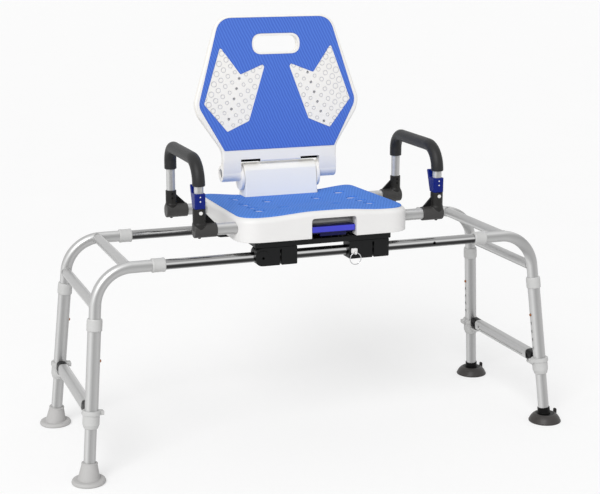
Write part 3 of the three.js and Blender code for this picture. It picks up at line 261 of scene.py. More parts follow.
def settle(made, name, finish, body, nodes=None, sharp=32):  # makes a loose mesh a finished, named piece
    material, slot = finish
    aboard = not body.startswith(("frame", "leg", "button"))
    made.name = name
    mesh = made.data
    mesh.name = name
    mesh.transform(at(park if aboard else 0, 0))
    mesh.transform(Matrix.Scale(mm, 4))
    mesh.materials.clear()
    mesh.materials.append(material)
    mesh.shade_smooth()
    mesh.set_sharp_from_angle(angle=math.radians(sharp))
    normals = made.modifiers.new("normals", "WEIGHTED_NORMAL")
    normals.keep_sharp = True
    bakeModifiers(made)
    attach(made, body)
    nodes = [nodeName(name)] if nodes is None else nodes
    if nodes:
        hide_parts(*nodes)


def secondFinish(made, finish, test):  # gives another finish to the faces that pass a test
    made.data.materials.append(finish[0])
    for face in made.data.polygons:
        if test(face):
            face.material_index = len(made.data.materials) - 1


# Material kit
def startMaterial(name):
    material = bpy.data.materials.new(name)
    material.use_nodes = True
    return material, material.node_tree, material.node_tree.nodes["Principled BSDF"]


def setInputs(tree, node, inputs):  # an input takes a value, or the socket that feeds it
    for name, value in inputs.items():
        if isinstance(value, bpy.types.NodeSocket):
            tree.links.new(value, node.inputs[name])
        else:
            node.inputs[name].default_value = value
    return node


def addNode(tree, kind, inputs, **settings):
    node = tree.nodes.new(kind)
    for name, value in settings.items():
        setattr(node, name, value)
    return setInputs(tree, node, inputs)


def toLinear(red, green, blue):
    channels = [c / 255 for c in (red, green, blue)]
    return [c / 12.92 if c <= 0.04045 else ((c + 0.055) / 1.055) ** 2.4 for c in channels] + [1]


def mixed(tree, factor, first, second, blend="MIX"):
    mix = addNode(tree, "ShaderNodeMix", {}, data_type="RGBA", blend_type=blend)
    return setInputs(tree, mix, {"Factor": factor, "A": first, "B": second}).outputs["Result"]


def mixedColour(tree, factor, first, second):
    return mixed(tree, factor, toLinear(*first), toLinear(*second))


def coordsOf(tree, kind="Object"):
    return addNode(tree, "ShaderNodeTexCoord", {}).outputs[kind]


def noiseAt(tree, scale, detail=4, stretch=(1, 1, 1)):
    place = addNode(tree, "ShaderNodeMapping", {"Vector": coordsOf(tree), "Scale": stretch})
    return addNode(tree, "ShaderNodeTexNoise", {
        "Vector": place.outputs["Vector"], "Scale": scale, "Detail": detail}).outputs["Fac"]


def remapped(tree, value, inputs):
    return addNode(tree, "ShaderNodeMapRange", {"Value": value, **inputs}).outputs["Result"]


def spread(tree, value, middle, half=0.06):
    return remapped(tree, value, {"To Min": middle - half, "To Max": middle + half})


def addBump(tree, shader, height, strength, distance):
    bump = addNode(tree, "ShaderNodeBump", {"Height": height, "Strength": strength, "Distance": distance})
    tree.links.new(bump.outputs["Normal"], shader.inputs["Normal"])


def addTones(tree, value, stops):
    tones = addNode(tree, "ShaderNodeValToRGB", {"Fac": value})
    ramp = tones.color_ramp.elements
    for place, _ in stops[1:-1]:
        ramp.new(place)
    for stop, (place, tone) in zip(ramp, stops):
        stop.position = place
        stop.color = toLinear(tone, tone, tone)
    return tones.outputs["Color"]


# Aluminium, satin: painted light and shade in streaks along the tube, set by how each face turns to one fixed
# direction, and a little cloudiness
tubePaintedLight = {"across": (-0.94, 0.35, 1.0), "metallic": 0.5, "roughness": 0.36, "tones": [
    (-1.0, 186), (-0.7, 192), (-0.35, 174), (-0.05, 160), (0.2, 178), (0.5, 214), (0.8, 204), (1.0, 184)]}


def satinTubePaintedLight():
    material, tree, shader = startMaterial("satinTubePaintedLight")
    fine = noiseAt(tree, 900, 2)
    # Painted light and shade: the tone follows the way each face turns
    towardPaintedLight = addNode(tree, "ShaderNodeVectorMath", {0: coordsOf(tree, "Normal"), 1: tubePaintedLight["across"]},
                     operation="DOT_PRODUCT").outputs["Value"]
    tones = addTones(tree, remapped(tree, towardPaintedLight, {"From Min": -1}),
                     [((place + 1) / 2, tone) for place, tone in tubePaintedLight["tones"]])
    cloud = mixedColour(tree, noiseAt(tree, 9, 3), (246, 246, 246), (255, 255, 254))
    setInputs(tree, shader, {"Base Color": mixed(tree, 1, tones, cloud, "MULTIPLY"),
                             "Roughness": spread(tree, fine, tubePaintedLight["roughness"]),
                             "Metallic": tubePaintedLight["metallic"]})
    addBump(tree, shader, fine, 0.05, 0.0002)
    return material


# Polished rail: painted reflection in bands along it, set by height on the rail, darkest below its middle
railPaintedReflection = {"roughness": 0.17, "tones": [
    (0.0, 150), (0.14, 132), (0.24, 58), (0.44, 50), (0.53, 92), (0.6, 205), (0.68, 214), (0.78, 150),
    (1.0, 168)]}


def chromeRail():
    material, tree, shader = startMaterial("chromeRail")
    smear = noiseAt(tree, 60, 3, (0.1, 1, 1))
    apart = addNode(tree, "ShaderNodeSeparateXYZ", {"Vector": coordsOf(tree)})
    height = remapped(tree, apart.outputs["Z"], {"From Min": (bench["railZ"] - bench["rail"] / 2) * mm,
                                                 "From Max": (bench["railZ"] + bench["rail"] / 2) * mm})
    # Painted reflection: the rail's tone is read off its height
    setInputs(tree, shader, {"Base Color": addTones(tree, height, railPaintedReflection["tones"]),
                             "Roughness": spread(tree, smear, railPaintedReflection["roughness"], 0.05), "Metallic": 1})
    addBump(tree, shader, smear, 0.02, 0.0001)
    return material


# Moulded plastic and rubber share one recipe: a fine grain and a slight change of tone
def moulded(name, slot, colour, shade, roughness, grain=700, depth=0.12, shine=0.5):
    material, tree, shader = startMaterial(name)
    fine = noiseAt(tree, grain, 3)
    setInputs(tree, shader, {"Base Color": mixedColour(tree, noiseAt(tree, 14, 2), shade, colour),
                             "Roughness": spread(tree, fine, roughness), "Specular IOR Level": shine})
    addBump(tree, shader, fine, depth, 0.0003)
    return material, slot


# Closed-cell foam with fine diagonal ribs, whose hollows are painted a darker blue as painted shade
ribs = {"pitch": 6.5, "angle": math.radians(25), "depth": 0.35, "waver": 3.2, "waverScale": 0.6,
        "grain": 0.3, "strength": 0.35, "roughness": 0.79, "shine": 0.2}


def ribbedFoam(name, colour, hollow, turn):
    material, tree, shader = startMaterial(name)
    place = addNode(tree, "ShaderNodeMapping", {"Vector": coordsOf(tree), "Rotation": turn})
    wave = addNode(tree, "ShaderNodeTexWave", {
        "Vector": place.outputs["Vector"], "Scale": 0.314 / (ribs["pitch"] * mm), "Distortion": ribs["waver"],
        "Detail Scale": ribs["waverScale"]}).outputs["Fac"]
    fine = noiseAt(tree, 1100, 3)
    # The rib hollows take the darker colour: painted shade
    setInputs(tree, shader, {"Base Color": mixedColour(tree, wave, hollow, colour),
                             "Roughness": spread(tree, fine, ribs["roughness"], 0.07),
                             "Specular IOR Level": ribs["shine"]})
    together = addNode(tree, "ShaderNodeMath", {0: fine, 1: ribs["grain"], 2: wave}, operation="MULTIPLY_ADD")
    addBump(tree, shader, together.outputs[0], ribs["strength"], ribs["depth"] * mm)
    return material, "blue_foam"


def gripFoam():
    material, tree, shader = startMaterial("gripFoam")
    cells = addNode(tree, "ShaderNodeTexVoronoi", {"Vector": coordsOf(tree), "Scale": 1400})
    cloud = mixedColour(tree, noiseAt(tree, 30, 3), (20, 20, 21), (30, 30, 31))
    setInputs(tree, shader, {"Base Color": cloud, "Roughness": 0.5, "Specular IOR Level": 0.35,
                             "Sheen Weight": 0.03})
    addBump(tree, shader, cells.outputs["Distance"], 0.3, 0.0003)
    return material


def plainMetal(name, slot, colour, shade, roughness):
    material, tree, shader = startMaterial(name)
    fine = noiseAt(tree, 400, 3)
    setInputs(tree, shader, {"Base Color": mixedColour(tree, fine, shade, colour),
                             "Roughness": spread(tree, fine, roughness), "Metallic": 0.9})
    addBump(tree, shader, fine, 0.05, 0.0001)
    return material, slot


white = {"roughness": 0.45, "grain": 900, "depth": 0.06, "shine": 0.35}
darkGloss = {"roughness": 0.35, "depth": 0.05, "shine": 0.2}
tubeFinish = (satinTubePaintedLight(), "frame_tube")
railFinish = (chromeRail(), "rail_chrome")
foamFinish = (gripFoam(), "grip_foam")
collarFinish = moulded("collarPlastic", "pale_plastic", (203, 203, 202), (193, 193, 192), 0.45)
tipFinish = moulded("tipRubber", "pale_rubber", (192, 191, 190), (182, 181, 180), 0.6, 500, 0.2, 0.3)
cupFinish = moulded("cupRubber", "dark_rubber", (66, 63, 62), (54, 52, 51), 0.42, 400, shine=0.3)
neckFinish = moulded("cupNeck", "socket_plastic", (8, 8, 8), (5, 5, 5), 0.4, 400, shine=0.12)
capFinish = moulded("capPlastic", "black_plastic", (14, 14, 15), (9, 9, 10), 0.4, depth=0.05, shine=0.15)
copperFinish = plainMetal("copperButton", "copper_button", (176, 116, 78), (132, 82, 54), 0.35)
sliderFinish = moulded("sliderNylon", "black_plastic", (13, 14, 15), (8, 9, 10), 0.42, shine=0.22)
# The back and the hinge block are brighter, warmer copies of the seat's white: painted light
seatWhite = moulded("seatWhite", "white_plastic", (237, 236, 235), (232, 231, 230), **white)
backPaintedLightWhite = moulded("backPaintedLightWhite", "white_plastic", (250, 247, 242), (245, 243, 238), **white)
blockPaintedLightWhite = moulded("blockPaintedLightWhite", "white_plastic", (254, 252, 246), (250, 248, 242), **white)
ringPaintedShade = moulded("ringShade", "white_plastic", (222, 222, 224), (214, 214, 216), 0.5, depth=0.05)
gapPaintedShade = moulded("gapShade", "black_plastic", (14, 14, 15), (9, 9, 10), 0.6, depth=0.05, shine=0.1)
backFoam = ribbedFoam("backFoam", (87, 127, 218), (72, 109, 203), (0, ribs["angle"], 0))
seatFoam = ribbedFoam("seatFoam", (88, 141, 226), (76, 127, 213), (0, 0, ribs["angle"]))
navyFinish = moulded("navyLatch", "navy_plastic", (0, 28, 124), (0, 20, 104), **darkGloss)
leverPaintedShade = moulded("leverTopShade", "violet_plastic", (14, 14, 74), (8, 9, 58), **darkGloss)
violetFinish = moulded("violetLever", "violet_plastic", (70, 74, 214), (50, 50, 180), 0.25, depth=0.03,
                       shine=0.4)
knucklePaintedLight = moulded("knuckleLitPlastic", "socket_plastic", (62, 61, 60), (50, 49, 48), 0.42, 600, 0.2, 0.35)
plugPaintedShade = moulded("recessShadeGrey", "white_plastic", (120, 120, 120), (104, 104, 104), 0.5)
socketFinish = moulded("socketPlastic", "socket_plastic", (30, 29, 28), (21, 20, 19), 0.45, 600, 0.2, 0.3)
steelFinish = plainMetal("brightSteel", "bright_steel", (208, 208, 210), (188, 188, 190), 0.2)
print("materials ready")

# End frames, rails and legs
leg = {"sleeve": 28.6, "sleeveWall": 0.9, "sleeveBottom": 118.5, "collarMiddle": 335, "collarHeight": 26,
       "collar": 33, "tube": 25.4, "tubeWall": 1.2, "tubeBottom": 12, "tubeTop": 290, "hole": 7.4,
       "firstHole": 259, "pitch": 19.8, "holes": 5}
sleeveTop = leg["collarMiddle"] + leg["collarHeight"] / 6
rise = Vector((bench["footX"] - bench["cornerX"], bench["footY"] - bench["railY"], bench["railZ"]))
stretch = rise.length / rise.z  # from a height to a length along the leaning leg
tubeRadius, barRadius, railRadius = bench["tube"] / 2, bench["crossbar"] / 2, bench["rail"] / 2


def railPoint(x, sy):
    return Vector((x, sy * bench["railY"], bench["railZ"]))


def legFoot(sx, sy):
    return Vector((sx * bench["footX"], sy * bench["footY"], 0))


def legWay(sx, sy):
    return Vector((-sx * rise.x, -sy * rise.y, rise.z)).normalized()


def legPoint(sx, sy, height):
    return legFoot(sx, sy) + legWay(sx, sy) * height * stretch


def legPlace(sx, sy):  # Z up the leg, X to the middle of the bench
    up = legWay(sx, sy)
    inward = Vector((-sx * up.z, 0, sx * up.x)).normalized()
    turn = Matrix((inward, up.cross(inward), up)).transposed().to_4x4()
    return at(*legFoot(sx, sy)) @ turn


def weldBead(bm, bar, tubePoint, tubeWay, sy, count=48):  # a bead where a crossbar meets a tube
    path = []
    way = Vector((0, sy, 0))
    across = way - tubeWay * way.dot(tubeWay)
    for angle in turns(count):
        start = bar + Vector((barRadius * math.cos(angle), 0, barRadius * math.sin(angle)))
        offset = start - tubePoint
        offset -= tubeWay * offset.dot(tubeWay)
        a, b, c = across.dot(across), 2 * across.dot(offset), offset.dot(offset) - tubeRadius ** 2
        path.append(start + way * (-b - math.sqrt(max(b * b - 4 * a * c, 0))) / (2 * a))
    middle = sum(path, Vector()) / count
    rings = []
    for i, here in enumerate(path):
        along = (path[(i + 1) % count] - path[i - 1]).normalized()
        out = (here - middle).normalized()
        up = along.cross(out).normalized()
        swell = bench["weld"] * (1 + bench["weldSwell"] * math.cos(i * bench["weldRhythm"]))
        rings.append([here + (out * math.cos(a) + up * math.sin(a)) * swell for a in turns(8)])
    addRings(bm, rings, loop=True)


for side, sx in ends:
    tubes = bmesh.new()
    for _, sy in rows:
        path = bentPath([railPoint(sx * bench["jointX"], sy), railPoint(sx * bench["cornerX"], sy),
                         legPoint(sx, sy, sleeveTop - bench["tubeInSleeve"])], [bench["bend"]], step=4)
        sweep(tubes, path, tubeRadius, tubeRadius - bench["wall"])
    made = looseObject(tubes)
    upper, lower = Vector((sx * bench["upperBarX"], 0, bench["railZ"])), legPoint(sx, 1, bench["lowerBarZ"])
    bars = []
    for bar, half in ((upper, bench["railY"]), (lower, lower.y)):
        reach = half - tubeRadius + bench["barSink"]
        bars.append(cylinder(barRadius, -reach, reach, alongY(bar.x, 0, bar.z), 48))
    joinOn(made, *bars)
    lower.y = 0
    beads = bmesh.new()
    beads.from_mesh(made.data)
    for _, sy in rows:
        weldBead(beads, upper, railPoint(0, sy), Vector((1, 0, 0)), sy)
        weldBead(beads, lower, legFoot(sx, sy), legWay(sx, sy), sy)
    beads.to_mesh(made.data)
    beads.free()
    settle(made, "endFrame_" + side, tubeFinish, "frame")
print("end frames ready")

rail = {"wall": 1.5, "hole": 7, "holeSteps": (-194, 0, 200), "pinX": 67.4, "short": 0.4}
for row, sy in rows:
    half = bench["jointX"] - rail["short"]
    made = formed(sweep, [railPoint(x, sy) for x in (-half, 0, half)], railRadius, railRadius - rail["wall"])
    if sy < 0:
        holes = bmesh.new()
        for step in rail["holeSteps"]:
            rod(holes, rail["hole"] / 2, -20, 0, alongY(*railPoint(park + rail["pinX"] + step, sy)), 24)
        cutAway(made, holes)
    settle(made, "rail_" + row, railFinish, "frame")

collar = {"diameter": 31, "length": 29, "lip": 1.6, "groove": 0.5, "fit": 0.1, "notches": 18}
for row, sy in rows:
    for side, sx in ends:
        half, outer, lip = collar["length"] / 2, collar["diameter"] / 2, collar["lip"]
        onTube, onRail, dent = tubeRadius + collar["fit"], railRadius + collar["fit"], collar["groove"]
        place = at(*railPoint(sx * bench["jointX"], sy)) @ Matrix.Rotation(math.radians(-90 * sx), 4, "Y")
        made = formed(lathe, [
            (onTube, -half), (outer - lip, -half), (outer - lip / 3, -half + lip / 3), (outer, -half + lip),
            (outer, -half + 3 * lip), (outer - dent, -half + 3.3 * lip), (outer - dent, half - 3.3 * lip),
            (outer, half - 3 * lip), (outer, half - lip), (outer - lip / 3, half - lip / 3),
            (outer - lip, half), (onRail, half), (onRail, -0.2), (onTube, -0.2)], place, 60, loop=True)
        settle(made, f"railCollar_{row}_{side}", collarFinish, "frame", sharp=40)
print("rails ready")

brace = {"height": 150, "thick": 24, "tall": 26, "corner": 9, "cap": 27, "groove": 230, "grooveHeight": 10,
         "grooveDepth": 2.4, "capInset": 0.2, "dentFrom": 9.5, "dent": 5.5, "dentTall": 5, "dentDepth": 1.6}
clip = {"cup": 36, "bottom": 30, "cupHeight": 34, "band": 40, "bandHeight": 10, "lug": 34, "lugThick": 4,
        "split": 4, "screw": 8, "ear": 8, "earProud": 6}
button = {"diameter": 6.4, "proud": 2.8}
tip = {"flange": 72.5, "flangeThick": 9, "base": 46, "top": 33, "height": 43.5}
cup = {"diameter": 76, "shoulderIn": 1.2, "shoulder": 4.2, "dome": 40, "domeHeight": 20, "domeOut": 1.15,
       "domeUp": 0.9, "neck": 30.6, "neckTop": 34, "hollow": 66, "tab": 12, "tabThick": 3, "tabTall": 23,
       "tabTurn": 19}


def legPipe(place, low, high, diameter, wall, count):  # a tube along the leg with holes for the button
    path = [place @ Vector((0, 0, z * stretch)) for z in (low, (low + high) / 2, high)]
    holes = bmesh.new()
    for i in range(count):
        height = (leg["firstHole"] - i * leg["pitch"]) * stretch
        rod(holes, leg["hole"] / 2, 2, 20, place @ alongX(0, 0, height), 28)
    return cutAway(formed(sweep, path, diameter / 2, diameter / 2 - wall), holes)


def sleeveCollar(place):
    outer, lip, step = leg["collar"] / 2, collar["lip"], sleeveTop * stretch + 0.2
    bottom = (leg["collarMiddle"] - leg["collarHeight"] / 2) * stretch
    top = (leg["collarMiddle"] + leg["collarHeight"] / 2) * stretch
    onSleeve, onTube = leg["sleeve"] / 2 + collar["fit"], tubeRadius + collar["fit"]
    made = formed(lathe, [
        (onSleeve, bottom), (outer - lip, bottom), (outer - lip / 3, bottom + lip / 3), (outer, bottom + lip),
        (outer, top - 3 * lip), (outer - 0.4, top - 2.8 * lip), (outer - 0.4, top - lip), (outer - lip, top),
        (onTube, top), (onTube, step), (onSleeve, step)], place, 60, loop=True)
    notches = bmesh.new()
    for angle in turns(collar["notches"]):
        turn = Matrix.Rotation(angle + math.pi / collar["notches"], 4, "Z")
        block(notches, (outer - 1.2, -0.8, bottom - 1), (outer + 1, 0.8, bottom + 2.2), place @ turn)
    return cutAway(made, notches)


def braceClip(place, sx, sy):
    top, sleeve = brace["height"] * stretch, leg["sleeve"] / 2
    bottom, step = top - clip["cupHeight"], leg["sleeveBottom"] * stretch - 0.2
    bandLow, bandHigh = top - clip["bandHeight"] / 2, top + clip["bandHeight"] / 2
    onTube, onSleeve = leg["tube"] / 2 + 0.2, sleeve + 0.1
    radius, low, band = clip["cup"] / 2, clip["bottom"] / 2, clip["band"] / 2
    made = formed(lathe, [
        (onTube, bottom), (low - 1, bottom), (low, bottom + 0.8), (low + 0.4, bottom + 2),
        (radius - 1.2, bottom + 6.5), (radius - 0.3, bottom + 8), (radius, bottom + 10),
        (radius, bandLow - 0.6), (band - 1.6, bandLow), (band - 0.4, bandLow + 0.7), (band, bandLow + 2.2),
        (band, bandHigh - 2.2), (band - 0.4, bandHigh - 0.7), (band - 1.6, bandHigh), (onSleeve, bandHigh),
        (onSleeve, step), (onTube, step)], place, 60, loop=True)
    # The tongue under the brace lies level and points along it
    turn = Matrix.Rotation(0 if sx * sy > 0 else math.pi, 4, "Z")
    lean = Matrix.Rotation(math.asin(rise.y / rise.length), 4, "X")
    inner, outer, half = sleeve + 1.5, sleeve + clip["lug"], brace["thick"] / 2
    lugTop = -brace["tall"] / 2 - 0.2
    outline = roundedOutline([(-half, inner, 0), (half, inner, 0), (half, outer, 8), (-half, outer, 8)])
    tongueFrame = place @ at(0, 0, top) @ turn @ lean
    plate = softShape(1.0, 3, 35, prism, outline, lugTop - clip["lugThick"], lugTop, tongueFrame)
    screw = cylinder(clip["screw"] / 2, lugTop - clip["lugThick"] - 3, lugTop - 0.5,
                     tongueFrame @ at(0, outer - 12), edge=0.8)
    ear = softShape(1.2, 3, 35, block, (band - 4, -clip["ear"], bandLow + 0.3),
                    (band + clip["earProud"], clip["ear"], bandHigh - 0.3), place)
    joinOn(made, plate, screw, ear)
    return cutAway(made, shape(block, (-band - 3, -clip["split"] / 2, bandLow - 0.8),
                               (-sleeve - 0.6, clip["split"] / 2, bandHigh + 3), place))


def snapButton(place):
    radius, inner, outer = button["diameter"] / 2, leg["tube"] / 2 + 0.3, leg["sleeve"] / 2 + button["proud"]
    return formed(lathe, [
        (0, inner), (radius, inner), (radius, outer - 1.8), (radius * 0.94, outer - 1.1),
        (radius * 0.76, outer - 0.5), (radius * 0.42, outer - 0.1), (0, outer),
    ], place @ alongX(0, 0, leg["firstHole"] * stretch), 28)


def leaning(sx, sy):  # Z up the leg, from its foot
    turn = Vector((0, 0, 1)).rotation_difference(legWay(sx, sy)).to_matrix().to_4x4()
    return at(*legFoot(sx, sy)) @ turn


def footSocket(sx, sy, height):
    return cylinder(leg["tube"] / 2 + 0.15, leg["tubeBottom"] * stretch - 0.2, height * stretch + 6,
                    leaning(sx, sy), 36)


def flangedTip(sx, sy):
    flange, thick = tip["flange"] / 2, tip["flangeThick"]
    base, top, height = tip["base"] / 2, tip["top"] / 2, tip["height"] * stretch
    made = formed(lathe, [
        (0, 0), (flange - 3, 0), (flange - 1.6, 0.4), (flange - 0.5, 1.6), (flange, 3.4), (flange - 0.3, 5),
        (flange - 1.6, thick - 1.2), (flange - 4, thick - 0.2), (flange - 7, thick), (0, thick),
    ], at(*legFoot(sx, sy)), 64)
    joinOn(made, shape(lathe, [
        (0, thick / 2), (base + 1.5, thick / 2), (base + 1.4, thick + 0.6), (base, thick + 2.4),
        (top + 0.4, height - 3.4), (top + 0.9, height - 2.6), (top + 0.9, height - 1), (top + 0.3, height),
        (0, height)], leaning(sx, sy), 64))
    return cutAway(made, footSocket(sx, sy, tip["height"]))


def suctionCup(sx, sy):
    radius, dome, domeHeight, foot = cup["diameter"] / 2, cup["dome"] / 2, cup["domeHeight"], legFoot(sx, sy)
    shoulder, shoulderZ = radius - cup["shoulderIn"], cup["shoulder"]
    bulge = [(radius, 0.8), (radius, 2.6), (shoulder, shoulderZ)]
    for t in (i / 9 for i in range(1, 9)):  # the dome is full at the rim and steeper near the neck
        rising = math.sin(t * math.pi / 2) ** cup["domeUp"]
        bulge.append((shoulder - (shoulder - dome) * t ** cup["domeOut"],
                      shoulderZ + (domeHeight - shoulderZ) * rising))
    made = formed(lathe, [(0, 4), (cup["neck"] / 4, 4), (cup["hollow"] / 2, 0), (radius - 0.8, 0), *bulge,
                          (dome - 1, domeHeight), (0, domeHeight)], at(*foot), 72)
    neck, top = cup["neck"] / 2, cup["neckTop"] * stretch
    joinOn(made, shape(lathe, [
        (0, domeHeight / 2), (neck + 0.6, domeHeight / 2), (neck, domeHeight + 2),
        (neck - 0.8, domeHeight + 3), (neck - 0.8, top - 1), (neck - 1.4, top), (0, top)],
        leaning(sx, sy), 60))
    tabPlace = at(*foot) @ Matrix.Rotation(math.radians(cup["tabTurn"]), 4, "Z") @ \
        at(radius - cup["tabThick"] - 0.4, 0)
    outline = roundedRectangle(-cup["tab"] / 2 + 1, cup["tab"] / 2 - 1, 2.2, cup["tabTall"], 4)
    joinOn(made, softShape(0.8, 3, 35, prism, outline, 0, cup["tabThick"] - 0.6, tabPlace @ planeYZ))
    return cutAway(made, footSocket(sx, sy, cup["neckTop"]))


for side, sx in ends:
    for row, sy in rows:
        place, spot = legPlace(sx, sy), f"{row}_{side}"
        settle(legPipe(place, leg["sleeveBottom"], sleeveTop, leg["sleeve"], leg["sleeveWall"], leg["holes"]),
               "legSleeve_" + spot, tubeFinish, "frame")
        settle(sleeveCollar(place), "sleeveCollar_" + spot, collarFinish, "frame", sharp=40)
        settle(braceClip(place, sx, sy), "braceClip_" + spot, collarFinish, "frame", sharp=40)
        settle(legPipe(place, leg["tubeBottom"], leg["tubeTop"], leg["tube"], leg["tubeWall"], 1),
               "legTube_" + spot, tubeFinish, "leg_" + spot)
        settle(snapButton(place), "snapButton_" + spot, copperFinish, "button_" + spot, sharp=50)
        if sx < 0:
            settle(flangedTip(sx, sy), f"foot_{spot}_tip", tipFinish, "leg_" + spot, ["foot_" + spot], 50)
        else:
            made = suctionCup(sx, sy)
            settle(made, f"foot_{spot}_cup", cupFinish, "leg_" + spot, ["foot_" + spot], 50)
            secondFinish(made, neckFinish, lambda face: face.center.z > (cup["domeHeight"] - 0.4) * mm or
                         (face.center - legFoot(sx, sy) * mm).length > (cup["diameter"] / 2 + 4) * mm)
print("legs ready")

for side, sx in ends:
    middle = legPoint(sx, 1, brace["height"])
    half = middle.y - clip["band"] / 2 - 0.3
    place = at(middle.x, 0, middle.z) @ Matrix.Rotation(-sx * math.atan2(rise.x, rise.z), 4, "Y")
    thick, tall, barEnd = brace["thick"] / 2, brace["tall"] / 2, half - brace["cap"]
    face = -sx * thick

    def section(inset):
        wide, high = thick - inset, tall - inset
        return roundedRectangle(-wide, wide, -high, high, brace["corner"], 10)

    made = formed(prism, section(0), -barEnd, barEnd, place @ planeXZ)
    reach, grooveTall = brace["groove"] / 2, brace["grooveHeight"] / 2
    low, high = sorted((face + brace["grooveDepth"] * sx, face - 4 * sx))
    outline = roundedRectangle(-reach, reach, -grooveTall, grooveTall, grooveTall)
    cutAway(made, shape(prism, outline, low, high, place @ planeYZ))
    settle(soften(made, 0.5, 2), "legBrace_" + side, tubeFinish, "frame")
    caps, dents = bmesh.new(), bmesh.new()
    dentLow, dentHigh = sorted((face + brace["dentDepth"] * sx, face - 4 * sx))
    for sy in (-1, 1):
        low, high = sorted((sy * (barEnd + 0.1), sy * half))
        prism(caps, section(brace["capInset"]), low, high, place @ planeXZ)
        dentY = sy * (barEnd + brace["dentFrom"])
        outline = roundedRectangle(dentY - brace["dent"], dentY + brace["dent"], -brace["dentTall"],
                                   brace["dentTall"], 4, 6)
        prism(dents, outline, dentLow, dentHigh, place @ planeYZ)
    made = cutAway(soften(looseObject(caps), 2.4, 4), dents)
    settle(made, "braceCaps_" + side, capFinish, "frame", ())
print("braces ready")

# Carriage under the seat; lengths count from the seat's middle
base = {"left": -159.6, "right": 157.4, "halfDepth": 172, "bottom": 472, "top": 484, "corner": 10,
        "hub": 168, "hubInner": 120, "hubTop": 496, "pivotHole": 41.6}
outline = roundedRectangle(base["left"], base["right"], -base["halfDepth"], base["halfDepth"], base["corner"])
made = soften(formed(prism, outline, base["bottom"], base["top"]), 1.4)
outer, inner, low, high = base["hub"] / 2, base["hubInner"] / 2, base["top"] - 3, base["hubTop"]
joinOn(made, shape(lathe, [(inner, low), (outer, low), (outer, high - 0.8), (outer - 0.8, high),
                           (inner + 0.8, high), (inner, high - 0.8)], Matrix(), 96, loop=True))
cutAway(made, cylinder(base["pivotHole"] / 2, base["bottom"] - 5, base["hubTop"], sides=64))
settle(made, "carriageBase", sliderFinish, "carriage")

slider = {"left": -159, "right": 57.1, "wide": 54.7, "slot": 4, "narrow": 35.8, "front": 19.6, "back": 18,
          "drop": 18, "flange": 5, "round": 17.5, "corner": 3, "boss": 33, "bossProud": 1.2, "bossHole": 6,
          "bossHoleDepth": 8, "gap": 0.3, "bore": 0.35, "pinHole": 3.4}


def sliderBlock(start, sy, isLeft):
    y, z = sy * bench["railY"], bench["railZ"]
    front = y + sy * slider["front"]
    low, high = sorted((front, y - sy * slider["back"]))
    bottom, top, corner = z - slider["drop"], base["bottom"] - slider["gap"], slider["corner"]
    slotLeft = start + slider["wide"]
    end = slotLeft + slider["slot"] + slider["narrow"]
    radius = slider["round"] if isLeft else corner
    outline = roundedOutline([(start, bottom, radius), (end, bottom, corner), (end, top, corner),
                              (start, top, radius)], 12)
    made = formed(prism, outline, low, high, planeXZ)
    cutAway(made, shape(block, (slotLeft, low - 5, bottom - 5),
                        (slotLeft + slider["slot"], high + 5, top - slider["flange"])))
    soften(made, 1.1, 4)
    if isLeft:
        outward, face = alongY(start + slider["boss"] / 2, 0, z), front + sy * slider["bossProud"]
        low, high = sorted((face, y))
        joinOn(made, cylinder(slider["boss"] / 2 - 0.2, low, high, outward, 72, 0.9))
        low, high = sorted((front - sy * slider["bossHoleDepth"], face + sy * 3))
        cutAway(made, cylinder(slider["bossHole"] / 2, low, high, outward, 32))
    cutAway(made, cylinder(railRadius + slider["bore"], start - 5, end + 5, alongX(0, y, z), 64))
    if not isLeft and sy < 0:
        cutAway(made, cylinder(slider["pinHole"], front - 4, y, alongY(rail["pinX"], 0, z), 32))
    return made


for row, sy in rows:
    for side, _ in ends:
        made = sliderBlock(slider[side], sy, side == "left")
        settle(made, f"slider_{row}_{side}", sliderFinish, "carriage")

pull = {"pin": 6, "wide": 13.8, "tall": 12, "thick": 5, "corner": 3, "eyeWide": 4, "eyeDepth": 8.6,
        "eyeTall": 7, "eyeCorner": 3.2, "eyeHole": 3.8, "ring": 28, "wire": 2, "gap": 0.3}
tabBack = -bench["railY"] - slider["front"] - pull["gap"]
eyeFront, eyeHalf, tabHalf = tabBack - pull["thick"] - pull["eyeDepth"], pull["eyeTall"] / 2, pull["tall"] / 2
pinX, railZ = rail["pinX"], bench["railZ"]
eyeY, eyeZ = eyeFront + eyeHalf, railZ - tabHalf + eyeHalf
outline = roundedRectangle(pinX - pull["wide"] / 2, pinX + pull["wide"] / 2, railZ - tabHalf, railZ + tabHalf,
                           pull["corner"])
made = soften(formed(prism, outline, tabBack - pull["thick"], tabBack, planeXZ), 0.9)
eyeOutline = roundedOutline([(eyeFront, eyeZ - eyeHalf, pull["eyeCorner"]), (tabBack - 1, eyeZ - eyeHalf, 0),
                             (tabBack - 1, eyeZ + eyeHalf, 0), (eyeFront, eyeZ + eyeHalf, pull["eyeCorner"])])
joinOn(made, softShape(0.6, 3, 35, prism, eyeOutline, pinX - pull["eyeWide"] / 2, pinX + pull["eyeWide"] / 2,
                       planeYZ),
       cylinder(pull["pin"] / 2, tabBack - 2, -bench["railY"] - railRadius - 0.4, alongY(pinX, 0, railZ), 32))
cutAway(made, cylinder(pull["eyeHole"] / 2, pinX - 8, pinX + 8, alongX(0, eyeY, eyeZ), 24))
settle(made, "pullPin", seatWhite, "pull_pin")
wire, reach = pull["wire"] / 2, (pull["ring"] - pull["wire"]) / 2
circle = [(reach + wire * math.cos(a), wire * math.sin(a)) for a in turns(14)]
settle(formed(lathe, circle, alongY(pinX, eyeY, eyeZ - reach), 72, loop=True), "pullRing", steelFinish,
       "pull_ring")

